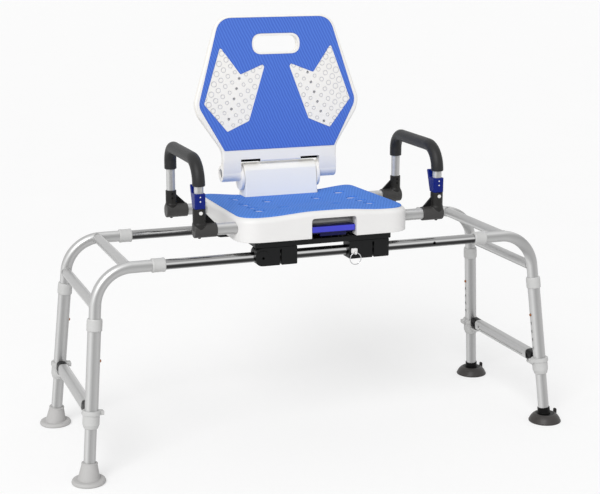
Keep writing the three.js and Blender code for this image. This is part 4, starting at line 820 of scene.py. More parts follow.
turntable = {"diameter": 170, "bottom": 496.3, "top": 500.3, "pivot": 40}
radius, low, high = turntable["diameter"] / 2, turntable["bottom"], turntable["top"]
pivot, pivotLow = turntable["pivot"] / 2, base["bottom"]
made = formed(lathe, [
    (0, pivotLow), (pivot - 1, pivotLow), (pivot, pivotLow + 1), (pivot, low), (radius - 0.6, low),
    (radius, low + 0.6), (radius, high - 0.6), (radius - 0.6, high), (0, high)], Matrix(), 96)
settle(made, "turntableTop", steelFinish, "seat")
print("carriage ready")

# Seat: its top falls to the back and is dished behind the front edge
seat = {"frontHeight": 542.5, "backHeight": 535, "dish": 8, "dishStart": -110, "dishRun": 110, "dishFlat": 80,
        "dishRise": 105, "crown": 6.5, "crownFlat": 25, "crownRise": 115, "crownRun": 130, "front": -186,
        "back": 160, "frontHalf": 200, "backHalf": 194, "frontCorner": 52, "backCorner": 30, "bottom": 487,
        "edge": 12, "wall": 4, "deck": 3, "drain": 7, "drainLow": 20}
pad = {"front": 10, "side": 8, "back": 13, "frontCorner": 46, "backCorner": 22, "proud": 2.5, "recess": 2,
       "edge": 1.4, "hole": 26, "gap": 0.4}
drains = [(0.65, -0.4), (0.65, 0.01), (0.65, 0.31), (0.65, 0.57), (0.3, -0.225), (0.315, 0.4)]
drainPlaces = [(sx * x * seat["frontHalf"], y * seat["front"]) for x, y in drains for sx in (-1, 1)]
boss = {"outer": 56, "inner": 50, "gap": 0.3}
hinge = {"y": 141, "z": 581, "barrel": 39.4, "barrelEnd": 141, "endHole": 23, "endDepth": 6, "pin": 12,
         "pinRoom": 0.8, "boreHalf": 150, "blockHalf": 89, "blockRadius": 23, "frontLow": 110,
         "frontTop": 118.5, "shoulder": 7, "footFlare": 2.6, "footTall": 20, "cheek": 54, "cheekThick": 7,
         "cheekDrop": 14}
pocket = {"left": -37, "right": 67, "roof": 531, "depth": 24, "corner": 8, "wall": 3}
lever = {"thick": 18, "bottom": 495.5, "depth": 19, "inset": 4, "corner": 6, "arm": 60, "armBottom": 490,
         "armTop": 498, "pivotY": -126, "pivotZ": 495, "pin": 6, "pinRoom": 0.8, "boreHalf": 60,
         "gap": 2, "ear": 4, "earDepth": 14, "earLow": 489, "earHigh": 534}
arms = {"post": 277.1, "crossZ": 515.4, "frontY": -146, "rearY": 81, "cross": 25.4, "crossWall": 1.5,
        "stub": 150, "strap": 20, "strapThick": 4, "strapX": 160, "room": 0.4, "past": 210}
seatMiddle, seatHalfDepth = (seat["front"] + seat["back"]) / 2, (seat["back"] - seat["front"]) / 2


def easeIn(value):
    t = min(max(value, 0), 1)
    return t * t * (3 - 2 * t)


def seatTop(x, y):
    along = (y - seat["front"]) / (seat["back"] - seat["front"])
    edge = seat["frontHeight"] + (seat["backHeight"] - seat["frontHeight"]) * along
    depth = easeIn((y - seat["dishStart"]) / seat["dishRun"])
    across = 1 - easeIn((abs(x) - seat["dishFlat"]) / seat["dishRise"])
    raised = (1 - easeIn((abs(x) - seat["crownFlat"]) / seat["crownRise"])) * \
        (1 - easeIn((y - seat["front"]) / seat["crownRun"]))
    return edge + seat["crown"] * raised - seat["dish"] * depth * across


def seatOutline(frontInset, sideInset, backInset, frontCorner, backCorner):
    front, back = seat["front"] + frontInset, seat["back"] - backInset
    wide, narrow = seat["frontHalf"] - sideInset, seat["backHalf"] - sideInset
    points = roundedOutline([
        (-wide, front, frontCorner), (0, front, 0), (wide, front, frontCorner), ((wide + narrow) / 2, 0, 0),
        (narrow, back, backCorner), (0, back, 0), (-narrow, back, backCorner), (-(wide + narrow) / 2, 0, 0),
    ], 9)
    dense = []
    for p, after in zip(points, points[1:] + points[:1]):
        count = 16 if (after - p).length > 14 else 1
        dense += [p.lerp(after, k / count) for k in range(count)]
    return dense


def seatRing(outline, inset, height):
    shareX, shareY = 1 - inset / seat["frontHalf"], 1 - inset / seatHalfDepth
    places = [(p.x * shareX, seatMiddle + (p.y - seatMiddle) * shareY) for p in outline]
    return [Vector((x, y, height(x, y))) for x, y in places]


def below(drop):  # the height of a surface that lies under the seat's top
    return lambda x, y: seatTop(x, y) - drop


def flat(level):
    return lambda x, y: level


def dishedFace(outline, first, drop, count=11):  # rings that fill a dished face, edge first
    reach = min(seat["frontHalf"], seatHalfDepth) - 3
    return [seatRing(outline, first + (reach - first) * (k / count) ** 0.9, below(drop))
            for k in range(1, count + 1)]


def roundedEdge(outline, drop, radius, count=7):
    angles = [math.pi / 2 * k / count for k in range(count + 1)]
    return [seatRing(outline, radius * (1 - math.cos(a)), below(drop + radius * (1 - math.sin(a))))
            for a in angles]


wall, gap = seat["wall"], pad["gap"]
shellEdge = seatOutline(0, 0, 0, seat["frontCorner"], seat["backCorner"])
hollowEdge = seatOutline(wall, wall, wall, seat["frontCorner"] - wall, seat["backCorner"] - wall)
recessEdge = seatOutline(pad["front"] - gap, pad["side"] - gap, pad["back"] - gap, pad["frontCorner"],
                         pad["backCorner"])
padEdge = seatOutline(pad["front"], pad["side"], pad["back"], pad["frontCorner"], pad["backCorner"])
padFloor = pad["proud"] + pad["recess"]
under = padFloor + seat["deck"]
shellRings = dishedFace(hollowEdge, seat["edge"], under)[::-1]
shellRings += roundedEdge(hollowEdge, under, seat["edge"], 4)[::-1]
shellRings += [seatRing(hollowEdge, 0, flat(seat["bottom"])), seatRing(shellEdge, 0.8, flat(seat["bottom"])),
               seatRing(shellEdge, 0, flat(seat["bottom"] + 0.8))]
shellRings += roundedEdge(shellEdge, pad["proud"], seat["edge"])[:-1]
shellRings += [seatRing(recessEdge, inset, below(drop)) for inset, drop in (
    (-0.5, pad["proud"]), (0, pad["proud"] + 0.4), (0, padFloor - 0.2), (0.5, padFloor))]
shellRings += dishedFace(recessEdge, 1, padFloor)
made = formed(addRings, shellRings)


def bossRing(radius, height):
    places = [(radius * math.cos(a), radius * math.sin(a)) for a in turns(64)]
    return [Vector((x, y, height(x, y))) for x, y in places]


def pocketShape(grow, low, before, behind):  # the lever's pocket, grown all round for its walls
    left, right, roof = pocket["left"] - grow, pocket["right"] + grow, pocket["roof"] + grow
    corner = pocket["corner"] + grow
    outline = roundedOutline([(left, low, 0), (right, low, 0), (right, roof, corner), (left, roof, corner)])
    return shape(prism, outline, seat["front"] + before, seat["front"] + pocket["depth"] + behind, planeXZ)


bossBottom, bossTop = flat(turntable["top"] + boss["gap"]), below(under - 1)
leverMiddle = (pocket["left"] + pocket["right"]) / 2
earX = lever["arm"] / 2 + lever["ear"] / 2 + 0.3
ears = []
for x in (leverMiddle - earX, leverMiddle + earX):
    ears.append(shape(block, (x - lever["ear"] / 2, lever["pivotY"] - lever["earDepth"] / 2, lever["earLow"]),
                      (x + lever["ear"] / 2, lever["pivotY"] + lever["earDepth"] / 2, lever["earHigh"])))
bossWall = [bossRing(boss[radius], height) for radius, height in (
    ("outer", bossBottom), ("outer", bossTop), ("inner", bossTop), ("inner", bossBottom))]
joinOn(made, shape(addRings, bossWall, loop=True),
       pocketShape(pocket["wall"], seat["bottom"] + 0.3, 2.4, 0), *ears)

# The hinge block rises from the deck to the round of the hinge, with a shoulder in front
footHalf = hinge["blockHalf"] + hinge["footFlare"] + 0.5
blockLow, shoulderZ = seat["backHeight"] - seat["dish"] - padFloor - 1, hinge["z"] + hinge["shoulder"]
profile = [(hinge["frontLow"], blockLow), (seat["back"] - 0.5, blockLow)]
for angle in (math.pi * k / 24 for k in range(25)):
    y = hinge["y"] + hinge["blockRadius"] * math.cos(angle)
    z = hinge["z"] + hinge["blockRadius"] * math.sin(angle)
    if z > shoulderZ or y > hinge["y"]:
        profile.append((y, z))
profile.append((hinge["frontTop"], shoulderZ))
joinOn(made, softShape(2.2, 4, 35, prism, profile, -hinge["blockHalf"], hinge["blockHalf"], planeYZ))
# The block's foot widens a little where it meets the deck, and leans along the block's front
foot = [(hinge["blockHalf"] + hinge["footFlare"] * (1 - t) ** 2, blockLow + hinge["footTall"] * t)
        for t in (k / 8 for k in range(9))]
footMesh = softShape(1.2, 3, 50, prism, foot + [(-x, z) for x, z in reversed(foot)], hinge["frontLow"] + 0.6,
                     seat["back"] - 1, planeXZ)
lean = (hinge["frontTop"] - hinge["frontLow"]) / (shoulderZ - blockLow)
for v in footMesh.verts:
    if v.co.y < seat["back"] - 12:
        v.co.y += lean * (v.co.z - blockLow)
joinOn(made, footMesh)
tubeRoom, past = arms["cross"] / 2 + arms["room"], arms["past"]
stubRoom, rearTube = arms["stub"] - arms["room"], alongX(0, arms["rearY"], arms["crossZ"])
cutAway(made, pocketShape(0, seat["bottom"] - 6, -6, 6),
        cylinder(tubeRoom, -past, past, alongX(0, arms["frontY"], arms["crossZ"]), 48),
        cylinder(tubeRoom, -past, -stubRoom, rearTube, 48), cylinder(tubeRoom, stubRoom, past, rearTube, 48),
        cylinder(hinge["pin"] / 2 + hinge["pinRoom"], -hinge["boreHalf"], hinge["boreHalf"],
                 alongX(0, hinge["y"], hinge["z"]), 32),
        cylinder(lever["pin"] / 2 + lever["pinRoom"], leverMiddle - lever["boreHalf"],
                 leverMiddle + lever["boreHalf"], alongX(0, lever["pivotY"], lever["pivotZ"]), 24))
# Each drain has a low pale ring about it, inside the pad's hole
wells, drainRings = bmesh.new(), bmesh.new()
for x, y in drainPlaces:
    deck, ringRadius = seatTop(x, y) - padFloor, pad["hole"] / 2 - 0.3
    lathe(drainRings, [(0, deck - 1.6), (ringRadius, deck - 1.6), (ringRadius, deck + 0.5),
                       (ringRadius - 0.7, deck + 0.9), (0, deck + 0.9)], at(x, y), 40)
    rod(wells, seat["drain"], seat["bottom"] + seat["drainLow"], deck + 4, at(x, y), 32)
joinOn(made, drainRings)
cutAway(made, wells)
settle(made, "seatShell", seatWhite, "seat", sharp=40)
# The hinge block is painted a brighter, warmer white than the deck about it, as painted light
secondFinish(made, blockPaintedLightWhite, lambda face: face.center.z > (blockLow + 3) * mm and
             abs(face.center.x / mm - park) < footHalf and face.center.y > (hinge["frontLow"] - 1) * mm)
print("seat shell ready")

padRings = dishedFace(padEdge, 1.2, padFloor - 0.3)[::-1]
padRings += [seatRing(padEdge, 0.6, below(padFloor - 0.3)), seatRing(padEdge, 0, below(padFloor - 0.9))]
padRings += roundedEdge(padEdge, 0, pad["edge"], 5) + dishedFace(padEdge, pad["edge"], 0)
holes = bmesh.new()
for x, y in drainPlaces:
    rod(holes, pad["hole"] / 2, seat["bottom"], hinge["z"], at(x, y), 40)
blockRoom = shape(prism, roundedOutline([
    (-footHalf, hinge["frontLow"] - 0.6, 4), (footHalf, hinge["frontLow"] - 0.6, 4),
    (footHalf, seat["back"] + 6, 0), (-footHalf, seat["back"] + 6, 0)]), seat["bottom"], hinge["z"])
made = soften(cutAway(formed(addRings, padRings), holes, blockRoom), 0.6, 3, 50)
settle(made, "seatPad", seatFoam, "seat", sharp=40)

paddleFront, armHalf = seat["front"] + lever["inset"], lever["arm"] / 2
paddleBack, paddleMiddle = paddleFront + lever["depth"], paddleFront + lever["depth"] / 2
outline = roundedRectangle(paddleFront, paddleBack, lever["bottom"], lever["bottom"] + lever["thick"],
                           lever["corner"], 10)
made = soften(formed(prism, outline, pocket["left"] + lever["gap"], pocket["right"] - lever["gap"], planeYZ),
              2.2, 5)
joinOn(made,
       shape(block, (leverMiddle - armHalf, paddleMiddle, lever["armBottom"]),
             (leverMiddle + armHalf, lever["pivotY"] + lever["pin"], lever["armTop"])),
       shape(block, (leverMiddle - armHalf, paddleMiddle - 6, lever["armBottom"]),
             (leverMiddle + armHalf, paddleBack - 2, lever["bottom"] + 6)),
       cylinder(lever["pin"] / 2, leverMiddle - earX - 4, leverMiddle + earX + 4,
                alongX(0, lever["pivotY"], lever["pivotZ"]), 32))
settle(made, "swivelLever", violetFinish, "swivel_lever", sharp=40)
# The lever's top and underside are painted dark navy as painted shade
secondFinish(made, leverPaintedShade, lambda face: face.normal.z > 0.6 or face.center.z < (lever["bottom"] + 4) * mm)

# Tube frame that carries the arms
knuckle = {"diameter": 31, "outer": 13, "inner": 37, "wall": 2}
crossEnd = arms["post"] + knuckle["outer"] - knuckle["wall"] - 0.3
outer, inner = arms["cross"] / 2, arms["cross"] / 2 - arms["crossWall"]
bm = bmesh.new()
for y, x0, x1 in ((arms["frontY"], -crossEnd, crossEnd), (arms["rearY"], arms["stub"], crossEnd),
                  (arms["rearY"], -crossEnd, -arms["stub"])):
    sweep(bm, [Vector((x, y, arms["crossZ"])) for x in (x0, (x0 + x1) / 2, x1)], outer, inner)
made = looseObject(bm)
strapTop = arms["crossZ"] - outer + 0.5 * arms["strapThick"]
for x in (-arms["strapX"], arms["strapX"]):
    joinOn(made, shape(block, (x - arms["strap"] / 2, arms["frontY"] - 4, strapTop - arms["strapThick"]),
                       (x + arms["strap"] / 2, arms["rearY"] + 4, strapTop)))
cutAway(made, cylinder(inner, -crossEnd - 9, crossEnd + 9, alongX(0, arms["frontY"], arms["crossZ"])))
settle(made, "armFrame", tubeFinish, "seat")
reach = hinge["barrelEnd"] - hinge["endDepth"] - 0.3
settle(formed(rod, hinge["pin"] / 2, -reach, reach, alongX(0, hinge["y"], hinge["z"]), edge=1), "hingePin",
       steelFinish, "seat")
print("seat ready")

# Back: X across, Y up it and Z to its front, measured from the hinge
back = {"tilt": 6.6, "front": 23.7, "thick": 18, "edge": 4, "bottom": 24, "slotBottom": 31.5,
        "slotFloor": 2.3, "slotInner": 50, "neck": 140, "waist": 203, "top": 362, "corner": 14, "recess": 3,
        "padThick": 4, "handleY": 296, "handleHalf": 59, "handleTall": 24, "handleRim": 5, "windowCorner": 4,
        "panelRim": 12, "panelLow": 52, "panelDepth": 1.2, "cheekGap": 1.1}
backCorners = [(0.69, 0.068, 0.6), (0.694, 0.15, 3), (0.961, 0.373, 3), (1, 0.448, 3), (0.685, 1, 3.2)]
backPadCorners = [(0.6675, 0.1475, 0.25), (0.953, 0.436, 2.4), (0.6655, 0.9859, 2.9)]
windowCorners = [(0.671, 0.806), (0.442, 0.629), (0.17, 0.689), (0.151, 0.673), (0.3616, 0.331),
                 (0.627, 0.267), (0.889, 0.448)]
backPlace = at(0, hinge["y"], hinge["z"]) @ Matrix.Rotation(math.radians(90 - back["tilt"]), 4, "X")
backFace, backRear = back["front"], back["front"] - back["thick"]


def backPoints(shares):
    return [(x * back["waist"], y * back["top"], r * back["corner"]) for x, y, r in shares]


def bothSides(half):
    return roundedOutline(half + [(-x, y, r) for x, y, r in reversed(half)], 12)


def grown(points, amount):
    middle = back["top"] / 2
    return [(x * (1 + amount / back["waist"]), middle + (y - middle) * (1 + amount / middle), r)
            for x, y, r in points]


def backPill(extra):  # the outline of the handle slot
    half, reach = back["handleTall"] + extra, back["handleHalf"] + extra
    return roundedRectangle(-reach, reach, back["handleY"] - half, back["handleY"] + half, half, 14)


def windowOutline(sx, extra):
    corners = [(x * back["waist"], y * back["top"]) for x, y in windowCorners]
    middleX, middleY = (sum(values) / len(corners) for values in zip(*corners))
    scale = 1 + extra / (back["waist"] / 3)
    around = [(sx * (middleX + (x - middleX) * scale), middleY + (y - middleY) * scale, back["windowCorner"])
              for x, y in corners]
    return roundedOutline(around[::sx], 5)


def backHoles(extra):  # handle slot and windows, cut through what lies at the back's front
    return [shape(prism, outline, backFace - 9, backFace + 9)
            for outline in (backPill(extra), windowOutline(-1, extra), windowOutline(1, extra))]


def acrossBack(radius, start, end, y=0.0, sides=72, edge=0.0):  # a round between two places across the back
    return cylinder(radius, *sorted((start, end)), alongX(0, y, 0), sides, edge)


made = soften(formed(prism, bothSides(backPoints(backCorners)), backRear, backFace), back["edge"], 5, 60)
padHalf = backPoints(backPadCorners)
recess = formed(prism, bothSides(grown(padHalf, gap)), backFace - back["recess"], backFace + 6)
cutAway(recess, *backHoles(-gap))
barrelStart = hinge["blockHalf"] + back["cheekGap"]
cheekEnd = barrelStart + hinge["cheekThick"]
slots = []
for sx in (-1, 1):
    low, high = sorted((sx * back["slotInner"], sx * cheekEnd))
    slots.append(shape(block, (low, 0, backRear + back["slotFloor"]),
                       (high, back["slotBottom"], backFace + 6)))
cutAway(made, meshOf(recess), *slots)
quarter, webTop = hinge["barrel"] / 4, back["bottom"] + 4
web = [(quarter, -hinge["blockRadius"] / 3), (-quarter / 2, 0), (0, 2 * quarter),
       (back["bottom"] / 2, backFace - 1), (webTop, backFace - 0.2), (webTop, backRear + 0.2)]
barrels, bores = [], [shape(prism, backPill(-back["handleRim"]), backRear - 6, backFace + 6)]
for sx in (-1, 1):
    barrels += [
        acrossBack(2 * quarter, sx * barrelStart, sx * hinge["barrelEnd"], edge=1.2),
        acrossBack(hinge["cheek"] / 2, sx * barrelStart, sx * cheekEnd, -hinge["cheekDrop"], edge=1.5),
        shape(prism, web, *sorted((sx * cheekEnd, sx * back["neck"])), planeYZ)]
    bores += [
        acrossBack(hinge["endHole"] / 2, sx * (hinge["barrelEnd"] - hinge["endDepth"]),
                   sx * (hinge["barrelEnd"] + 5), sides=48),
        acrossBack(hinge["pin"] / 2 + hinge["pinRoom"], sx * 80, sx * (hinge["barrelEnd"] + 5), sides=32)]
joinOn(made, *barrels)
cutAway(made, *bores)
# The back's rear has a shallow panel inside a rim, with a rim about the handle too
panelHalf = grown(backPoints(backCorners), -back["panelRim"])
panelHalf = [(x, max(y, back["panelLow"]), r * 0.7) for x, y, r in panelHalf if y > back["panelLow"] / 2]
panel = formed(prism, bothSides(panelHalf), backRear - 6, backRear + back["panelDepth"])
cutAway(panel, shape(prism, backPill(back["handleRim"]), backRear - 9, backRear + 9))
cutAway(made, meshOf(panel))

# Rings on the two windows stand in slanted columns; one column is of holes, and rings grow away from it
dots = {"down": (7.3, -23.1), "out": (17.2, -8.6), "start": (97.8, 157.8), "holeColumns": {1: 0, -1: 1},
        "hole": 3.4, "holeDepth": 6, "first": 4.6, "growth": 0.75, "largest": 7.6, "line": 1.5, "depth": 1.3,
        "beyond": 3.5, "columns": range(-6, 8), "steps": range(-9, 10)}


def insideOutline(outline, x, y, margin):  # a margin below zero takes in places just outside
    inside, near, here = False, 1e9, Vector((x, y))
    for i, a in enumerate(outline):
        b = outline[i - 1]
        if (a.y > y) != (b.y > y) and x < (b.x - a.x) * (y - a.y) / (b.y - a.y) + a.x:
            inside = not inside
        edge = b - a
        t = min(max((here - a).dot(edge) / edge.length_squared, 0), 1)
        near = min(near, (a + edge * t - here).length)
    return near > margin if inside else near < -margin


grooves, dotHoles, window = bmesh.new(), bmesh.new(), windowOutline(1, 0)
for sx in (1, -1):
    for column in dots["columns"]:
        away = abs(column - dots["holeColumns"][sx])
        radius = min(dots["first"] + dots["growth"] * (away - 1), dots["largest"])
        for step in dots["steps"]:
            x, y = (dots["start"][i] + column * dots["out"][i] + step * dots["down"][i] for i in (0, 1))
            if not insideOutline(window, x, y, -dots["beyond"]):
                continue
            if away:
                inner, low, high = radius - dots["line"], backFace - dots["depth"], backFace + 2
                ring = [(inner, low), (radius, low), (radius, high), (inner, high)]
                lathe(grooves, ring, at(sx * x, y), 28, loop=True)
            elif insideOutline(window, x, y, dots["hole"]):
                rod(dotHoles, dots["hole"], backFace - dots["holeDepth"], backFace + 2, at(sx * x, y), 24)
cutAway(made, grooves, dotHoles)
made.data.transform(backPlace)
# The back's brighter white is painted light
settle(made, "backShell", backPaintedLightWhite, "back", sharp=40)
backView = backPlace.inverted()


def inBack(face):  # a face's middle in the back's own measures
    return backView @ (face.center / mm - Vector((park, 0, 0)))


def inSlot(face):
    spot = inBack(face)
    return back["slotInner"] - 0.1 < abs(spot.x) < hinge["blockHalf"] and \
        -0.1 < spot.y < back["slotBottom"] + 0.1 and spot.z > backRear + back["slotFloor"] - 0.1


def inRing(face):
    spot = inBack(face)
    return backFace - dots["holeDepth"] - 1 < spot.z < backFace - 0.2 and \
        insideOutline(window, abs(spot.x), spot.y, 0.2)


# The slots above the hinge block are painted near black as painted shade
secondFinish(made, gapPaintedShade, inSlot)
# The grooves and holes in the windows are painted grey as painted shade
secondFinish(made, ringPaintedShade, inRing)

padBottom = backFace - back["recess"]
made = formed(prism, bothSides(padHalf), padBottom + 0.3, padBottom + back["padThick"])
soften(cutAway(made, *backHoles(0)), 0.9, 4, 50)
made.data.transform(backPlace)
settle(made, "backPad", backFoam, "back", sharp=40)

# Grey discs at the bottoms of the barrels' end recesses, as painted shade in the recesses
for side, sx in ends:
    low, high = sorted((sx * (hinge["barrelEnd"] - hinge["endDepth"] + 0.1), sx * (hinge["barrelEnd"] - 3.4)))
    made = formed(rod, hinge["endHole"] / 2 - 0.3, low, high, alongX(0, hinge["y"], hinge["z"]), 48, 0.7)
    settle(made, "barrelPlug_" + side, plugPaintedShade, "back", ())
print("back ready")

# Arms
arm = {"tube": 20, "wall": 1.5, "top": 663.5, "rearBend": 34, "frontBend": 50, "grip": 27.5,
       "gripBottom": 611, "rearSocket": 24.4, "rearTop": 562.5, "insert": 30, "frontSocket": 28,
       "frontTop": 563, "plug": 8, "gusset": 5, "gussetTop": 552, "hole": 4.5, "holeDepth": 1.4,
       "holePitch": 9.5, "holeTop": 555, "stud": 8, "studProud": 1, "studZ": 555, "screw": 6,
       "screwProud": 2, "blend": 0.7}
latch = {"wide": 24, "front": 12, "back": 14, "bodyTop": 596, "tabTop": 611, "tabInner": 17.5, "tabOuter": 31,
         "tabWide": 22, "corner": 5, "dot": 3.5, "dotDepth": 0.8, "dotPitch": 9.5, "dotTop": 589}


def armBracket(sx, y, socket, top):
    x, z, post = sx * arms["post"], arms["crossZ"], socket / 2
    armAxis, halfKnuckle = alongX(0, y, z), knuckle["diameter"] / 2
    low, high = sorted((x - sx * knuckle["inner"], x + sx * knuckle["outer"]))
    made = formed(rod, halfKnuckle, low, high, armAxis, 72, 1.5)
    inner = x - sx * (knuckle["inner"] - arm["gusset"] / 2)
    gusset = [(x, z), (inner, z), (inner, z + halfKnuckle - 0.5), (x - sx * post, arm["gussetTop"]),
              (x, arm["gussetTop"])]
    flare = [(0, z), (post + 1.4, z), (post + 1.4, z + 14.5), (post + 0.4, z + 17), (post, z + 19),
             (post, top - 0.8), (post - 0.8, top), (0, top)]
    joinOn(made, shape(lathe, flare, at(x, y), 64),
           shape(prism, gusset, y - arm["gusset"] / 2, y + arm["gusset"] / 2, planeXZ))
    remesh = made.modifiers.new("blend", "REMESH")
    remesh.mode = "VOXEL"
    remesh.voxel_size = arm["blend"]
    made.modifiers.new("even", "SMOOTH").iterations = 3
    bakeModifiers(made)
    joinOn(made, cylinder(arm["screw"] / 2, z - halfKnuckle - arm["screwProud"], z, at(x, y), 32, 0.6))
    low, high = sorted((x - sx * (knuckle["inner"] + 6), sx * crossEnd))
    return cutAway(made, cylinder(arms["cross"] / 2 + 0.8, low, high, armAxis, 56))


# The knuckle on the cross tube is painted a lighter black than the post, as painted light, and its rib a
# darker one, as painted shade
def bracketShades(made, x, y, socket):
    def onKnuckle(face):
        away = math.hypot(face.center.y / mm - y, face.center.z / mm - arms["crossZ"])
        return away < knuckle["diameter"] / 2 + 0.5

    def onRib(face):
        beside = abs(face.center.x / mm - park - x) > socket / 2
        return abs(face.normal.y) > 0.9 and beside and not onKnuckle(face)

    secondFinish(made, knucklePaintedLight, onKnuckle)
    secondFinish(made, gapPaintedShade, onRib)


def frontHoles(x, y, part, name):  # two small holes in a front face, one under the other
    radius, depth, top, pitch = (part[name + key] for key in ("", "Depth", "Top", "Pitch"))
    return [cylinder(radius / 2, y - 6, y + depth, alongY(x, 0, z), 28) for z in (top, top - pitch)]


def frontDots(name, x, y, part, kind, finish, body):  # small discs at the bottoms of such holes
    radius, depth, top, pitch = (part[kind + key] for key in ("", "Depth", "Top", "Pitch"))
    for i in range(2):
        low = y + depth - 0.6
        made = formed(rod, radius / 2 - 0.15, low, low + 0.5, alongY(x, 0, top - i * pitch), 24, 0.15)
        settle(made, f"{name}_{i + 1}", finish, body, ())


for side, sx in ends:
    x, frontY, rearY, body = sx * arms["post"], arms["frontY"], arms["rearY"], "arm_" + side
    tubeOuter, tubeInner = arm["tube"] / 2, arm["tube"] / 2 - arm["wall"]
    rearEnd, frontEnd = arm["rearTop"] - arm["insert"], arm["frontTop"] - arm["plug"]

    def armRoute(rearZ, frontZ):
        corners = [(x, rearY, rearZ), (x, rearY, arm["top"]), (x, frontY, arm["top"]), (x, frontY, frontZ)]
        return bentPath(corners, [arm["rearBend"], arm["frontBend"]], step=4)

    made = formed(sweep, armRoute(rearEnd, frontEnd), tubeOuter, tubeInner)
    settle(made, "armTube_" + side, tubeFinish, body)
    made = formed(sweep, armRoute(arm["gripBottom"], arm["gripBottom"]), arm["grip"] / 2, tubeOuter + 0.3,
                  lip=1.2, sides=48)
    settle(made, "armGrip_" + side, foamFinish, body)

    face = rearY - arm["rearSocket"] / 2
    made = armBracket(sx, rearY, arm["rearSocket"], arm["rearTop"])
    cutAway(made, cylinder(tubeOuter + 0.3, rearEnd - 0.3, arm["rearTop"] + 6, at(x, rearY), 56),
            *frontHoles(x, face, arm, "hole"))
    settle(made, "rearBracket_" + side, socketFinish, body, sharp=45)
    bracketShades(made, x, rearY, arm["rearSocket"])
    # Near-black discs at the bottoms of the bracket's holes, as painted shade
    frontDots("bracketPlug_" + side, x, face, arm, "hole", neckFinish, body)

    face = frontY - arm["frontSocket"] / 2
    made = armBracket(sx, frontY, arm["frontSocket"], arm["frontTop"])
    cutAway(made, cylinder(tubeOuter + 2, frontEnd - 2, arm["frontTop"] + 6, at(x, frontY), 64))
    settle(made, "frontSocket_" + side, socketFinish, "seat", sharp=45)
    bracketShades(made, x, frontY, arm["frontSocket"])
    made = formed(rod, arm["stud"] / 2, face - arm["studProud"], face + 3, alongY(x, 0, arm["studZ"]), 32,
                  edge=0.6)
    settle(made, "socketStud_" + side, seatWhite, "seat", ())

    bottom, front, rear = arm["frontTop"] + 0.3, frontY - latch["front"], frontY + latch["back"]
    outline = roundedRectangle(x - latch["wide"] / 2, x + latch["wide"] / 2, front, rear, latch["corner"])
    made = soften(formed(prism, outline, bottom, latch["bodyTop"]), 1.2, 4, 60)
    # Its back rises behind the tube and leans away from it
    outer, inner, top = frontY + latch["tabOuter"], frontY + latch["tabInner"], latch["tabTop"]
    tab = [(rear - 3, bottom), (rear, bottom), (outer, top - 2), (outer - 2, top), (inner + 5, top),
           (inner, latch["bodyTop"] - 1), (rear - 3, latch["bodyTop"] - 1)]
    reach = latch["tabWide"] / 2
    joinOn(made, softShape(1.2, 4, 25, prism, tab, x - reach, x + reach, planeYZ))
    cutAway(made, cylinder(tubeOuter + 0.4, bottom - 6, latch["bodyTop"] + 20, at(x, frontY), 56),
            *frontHoles(x, front, latch, "dot"))
    settle(made, "latch_" + side, navyFinish, "latch_" + side, sharp=40)
    frontDots("latchDot_" + side, x, front, latch, "dot", seatWhite, "latch_" + side)
print("arms ready")

# Camera of the photograph, floor and light
view = {"place": (-1076.0, -2897.9, 1146.6), "right": (0.93792, -0.34685, 0.00150),
        "down": (-0.07747, -0.21370, -0.97382), "lens": 82.87, "sensor": 36, "far": 200}


def linked(name, data):
    made = bpy.data.objects.new(name, data)
    bpy.context.scene.collection.objects.link(made)
    return made


camera = linked("camera", bpy.data.cameras.new("camera"))
camera.data.lens = view["lens"]
camera.data.sensor_width = view["sensor"]
camera.data.clip_end = view["far"]
right, up = Vector(view["right"]), -Vector(view["down"])
turn = Matrix((right, up, right.cross(up))).transposed().to_4x4()
camera.matrix_world = Matrix.Translation(Vector(view["place"]) * mm) @ turn
bpy.context.scene.camera = camera

studio = {"floor": 60, "floorColour": (238, 238, 238), "floorShade": (235, 235, 235),
          "seenColour": (190, 190, 190), "seenShade": (187, 187, 187), "floorLift": 0.512,
          "world": 0.55, "backdrop": 0.955, "sun": 1.45, "sunAngle": 30, "sunTurn": (48, 0, -38),
          "fill": 17, "fillSize": 2.6, "fillPlace": (-2.6, -2.2, 1.8), "fillAim": (0, 0, 0.5)}


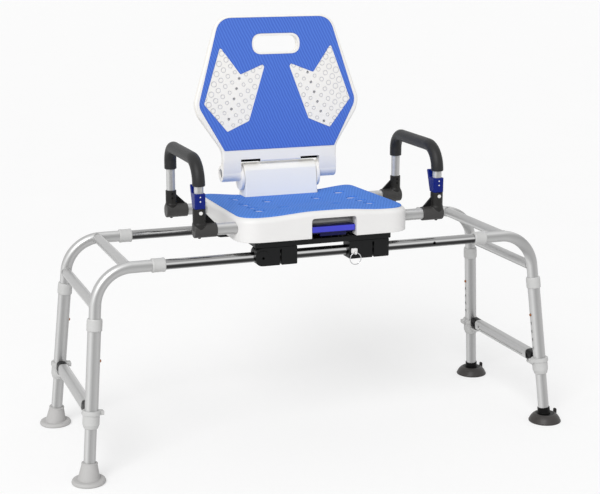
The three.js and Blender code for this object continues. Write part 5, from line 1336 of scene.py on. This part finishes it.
def seenRays(tree):  # camera, glossy and transmission rays, which see the pale background
    rays = addNode(tree, "ShaderNodeLightPath", {})
    seen = rays.outputs["Is Camera Ray"]
    for other in ("Is Glossy Ray", "Is Transmission Ray"):
        either = addNode(tree, "ShaderNodeMath", {0: seen, 1: rays.outputs[other]}, operation="MAXIMUM")
        seen = either.outputs[0]
    return seen


def floorPaint():  # a matt floor that keeps its shadows and looks as pale as the backdrop
    material, tree, shader = startMaterial("floorPaint")
    cloud, seen = noiseAt(tree, 3, 2), seenRays(tree)
    lift = addNode(tree, "ShaderNodeMath", {0: seen, 1: studio["floorLift"]}, operation="MULTIPLY")
    paint = mixed(tree, seen, mixedColour(tree, cloud, studio["floorColour"], studio["floorShade"]),
                  mixedColour(tree, cloud, studio["seenColour"], studio["seenShade"]))
    setInputs(tree, shader, {"Base Color": paint, "Roughness": 0.9, "Specular IOR Level": 0.1,
                             "Emission Color": (1, 1, 1, 1), "Emission Strength": lift.outputs[0]})
    return material


bm = bmesh.new()
bmesh.ops.create_grid(bm, x_segments=40, y_segments=40, size=studio["floor"] / 2)
floor = looseObject(bm)
floor.name = "floor"
floor.data.materials.append(floorPaint())

world = bpy.data.worlds.new("studio")
bpy.context.scene.world = world
world.use_nodes = True
tree = world.node_tree
tree.nodes.clear()
ambient = addNode(tree, "ShaderNodeBackground", {"Color": (1, 1, 1, 1), "Strength": studio["world"]})
pale = addNode(tree, "ShaderNodeBackground", {"Color": (*[studio["backdrop"]] * 3, 1), "Strength": 1})
shown = addNode(tree, "ShaderNodeMixShader", {
    "Fac": seenRays(tree), 1: ambient.outputs[0], 2: pale.outputs[0]})
addNode(tree, "ShaderNodeOutputWorld", {"Surface": shown.outputs[0]})

sun = linked("key", bpy.data.lights.new("key", "SUN"))
sun.data.energy = studio["sun"]
sun.data.angle = math.radians(studio["sunAngle"])
sun.rotation_euler = [math.radians(angle) for angle in studio["sunTurn"]]
fill = linked("fill", bpy.data.lights.new("fill", "AREA"))
fill.data.energy = studio["fill"]
fill.data.size = studio["fillSize"]
fill.location = studio["fillPlace"]
aim = Vector(studio["fillAim"]) - Vector(studio["fillPlace"])
fill.rotation_euler = aim.to_track_quat("-Z", "Y").to_euler()
bpy.context.scene.view_settings.view_transform = "Standard"
print("light ready")
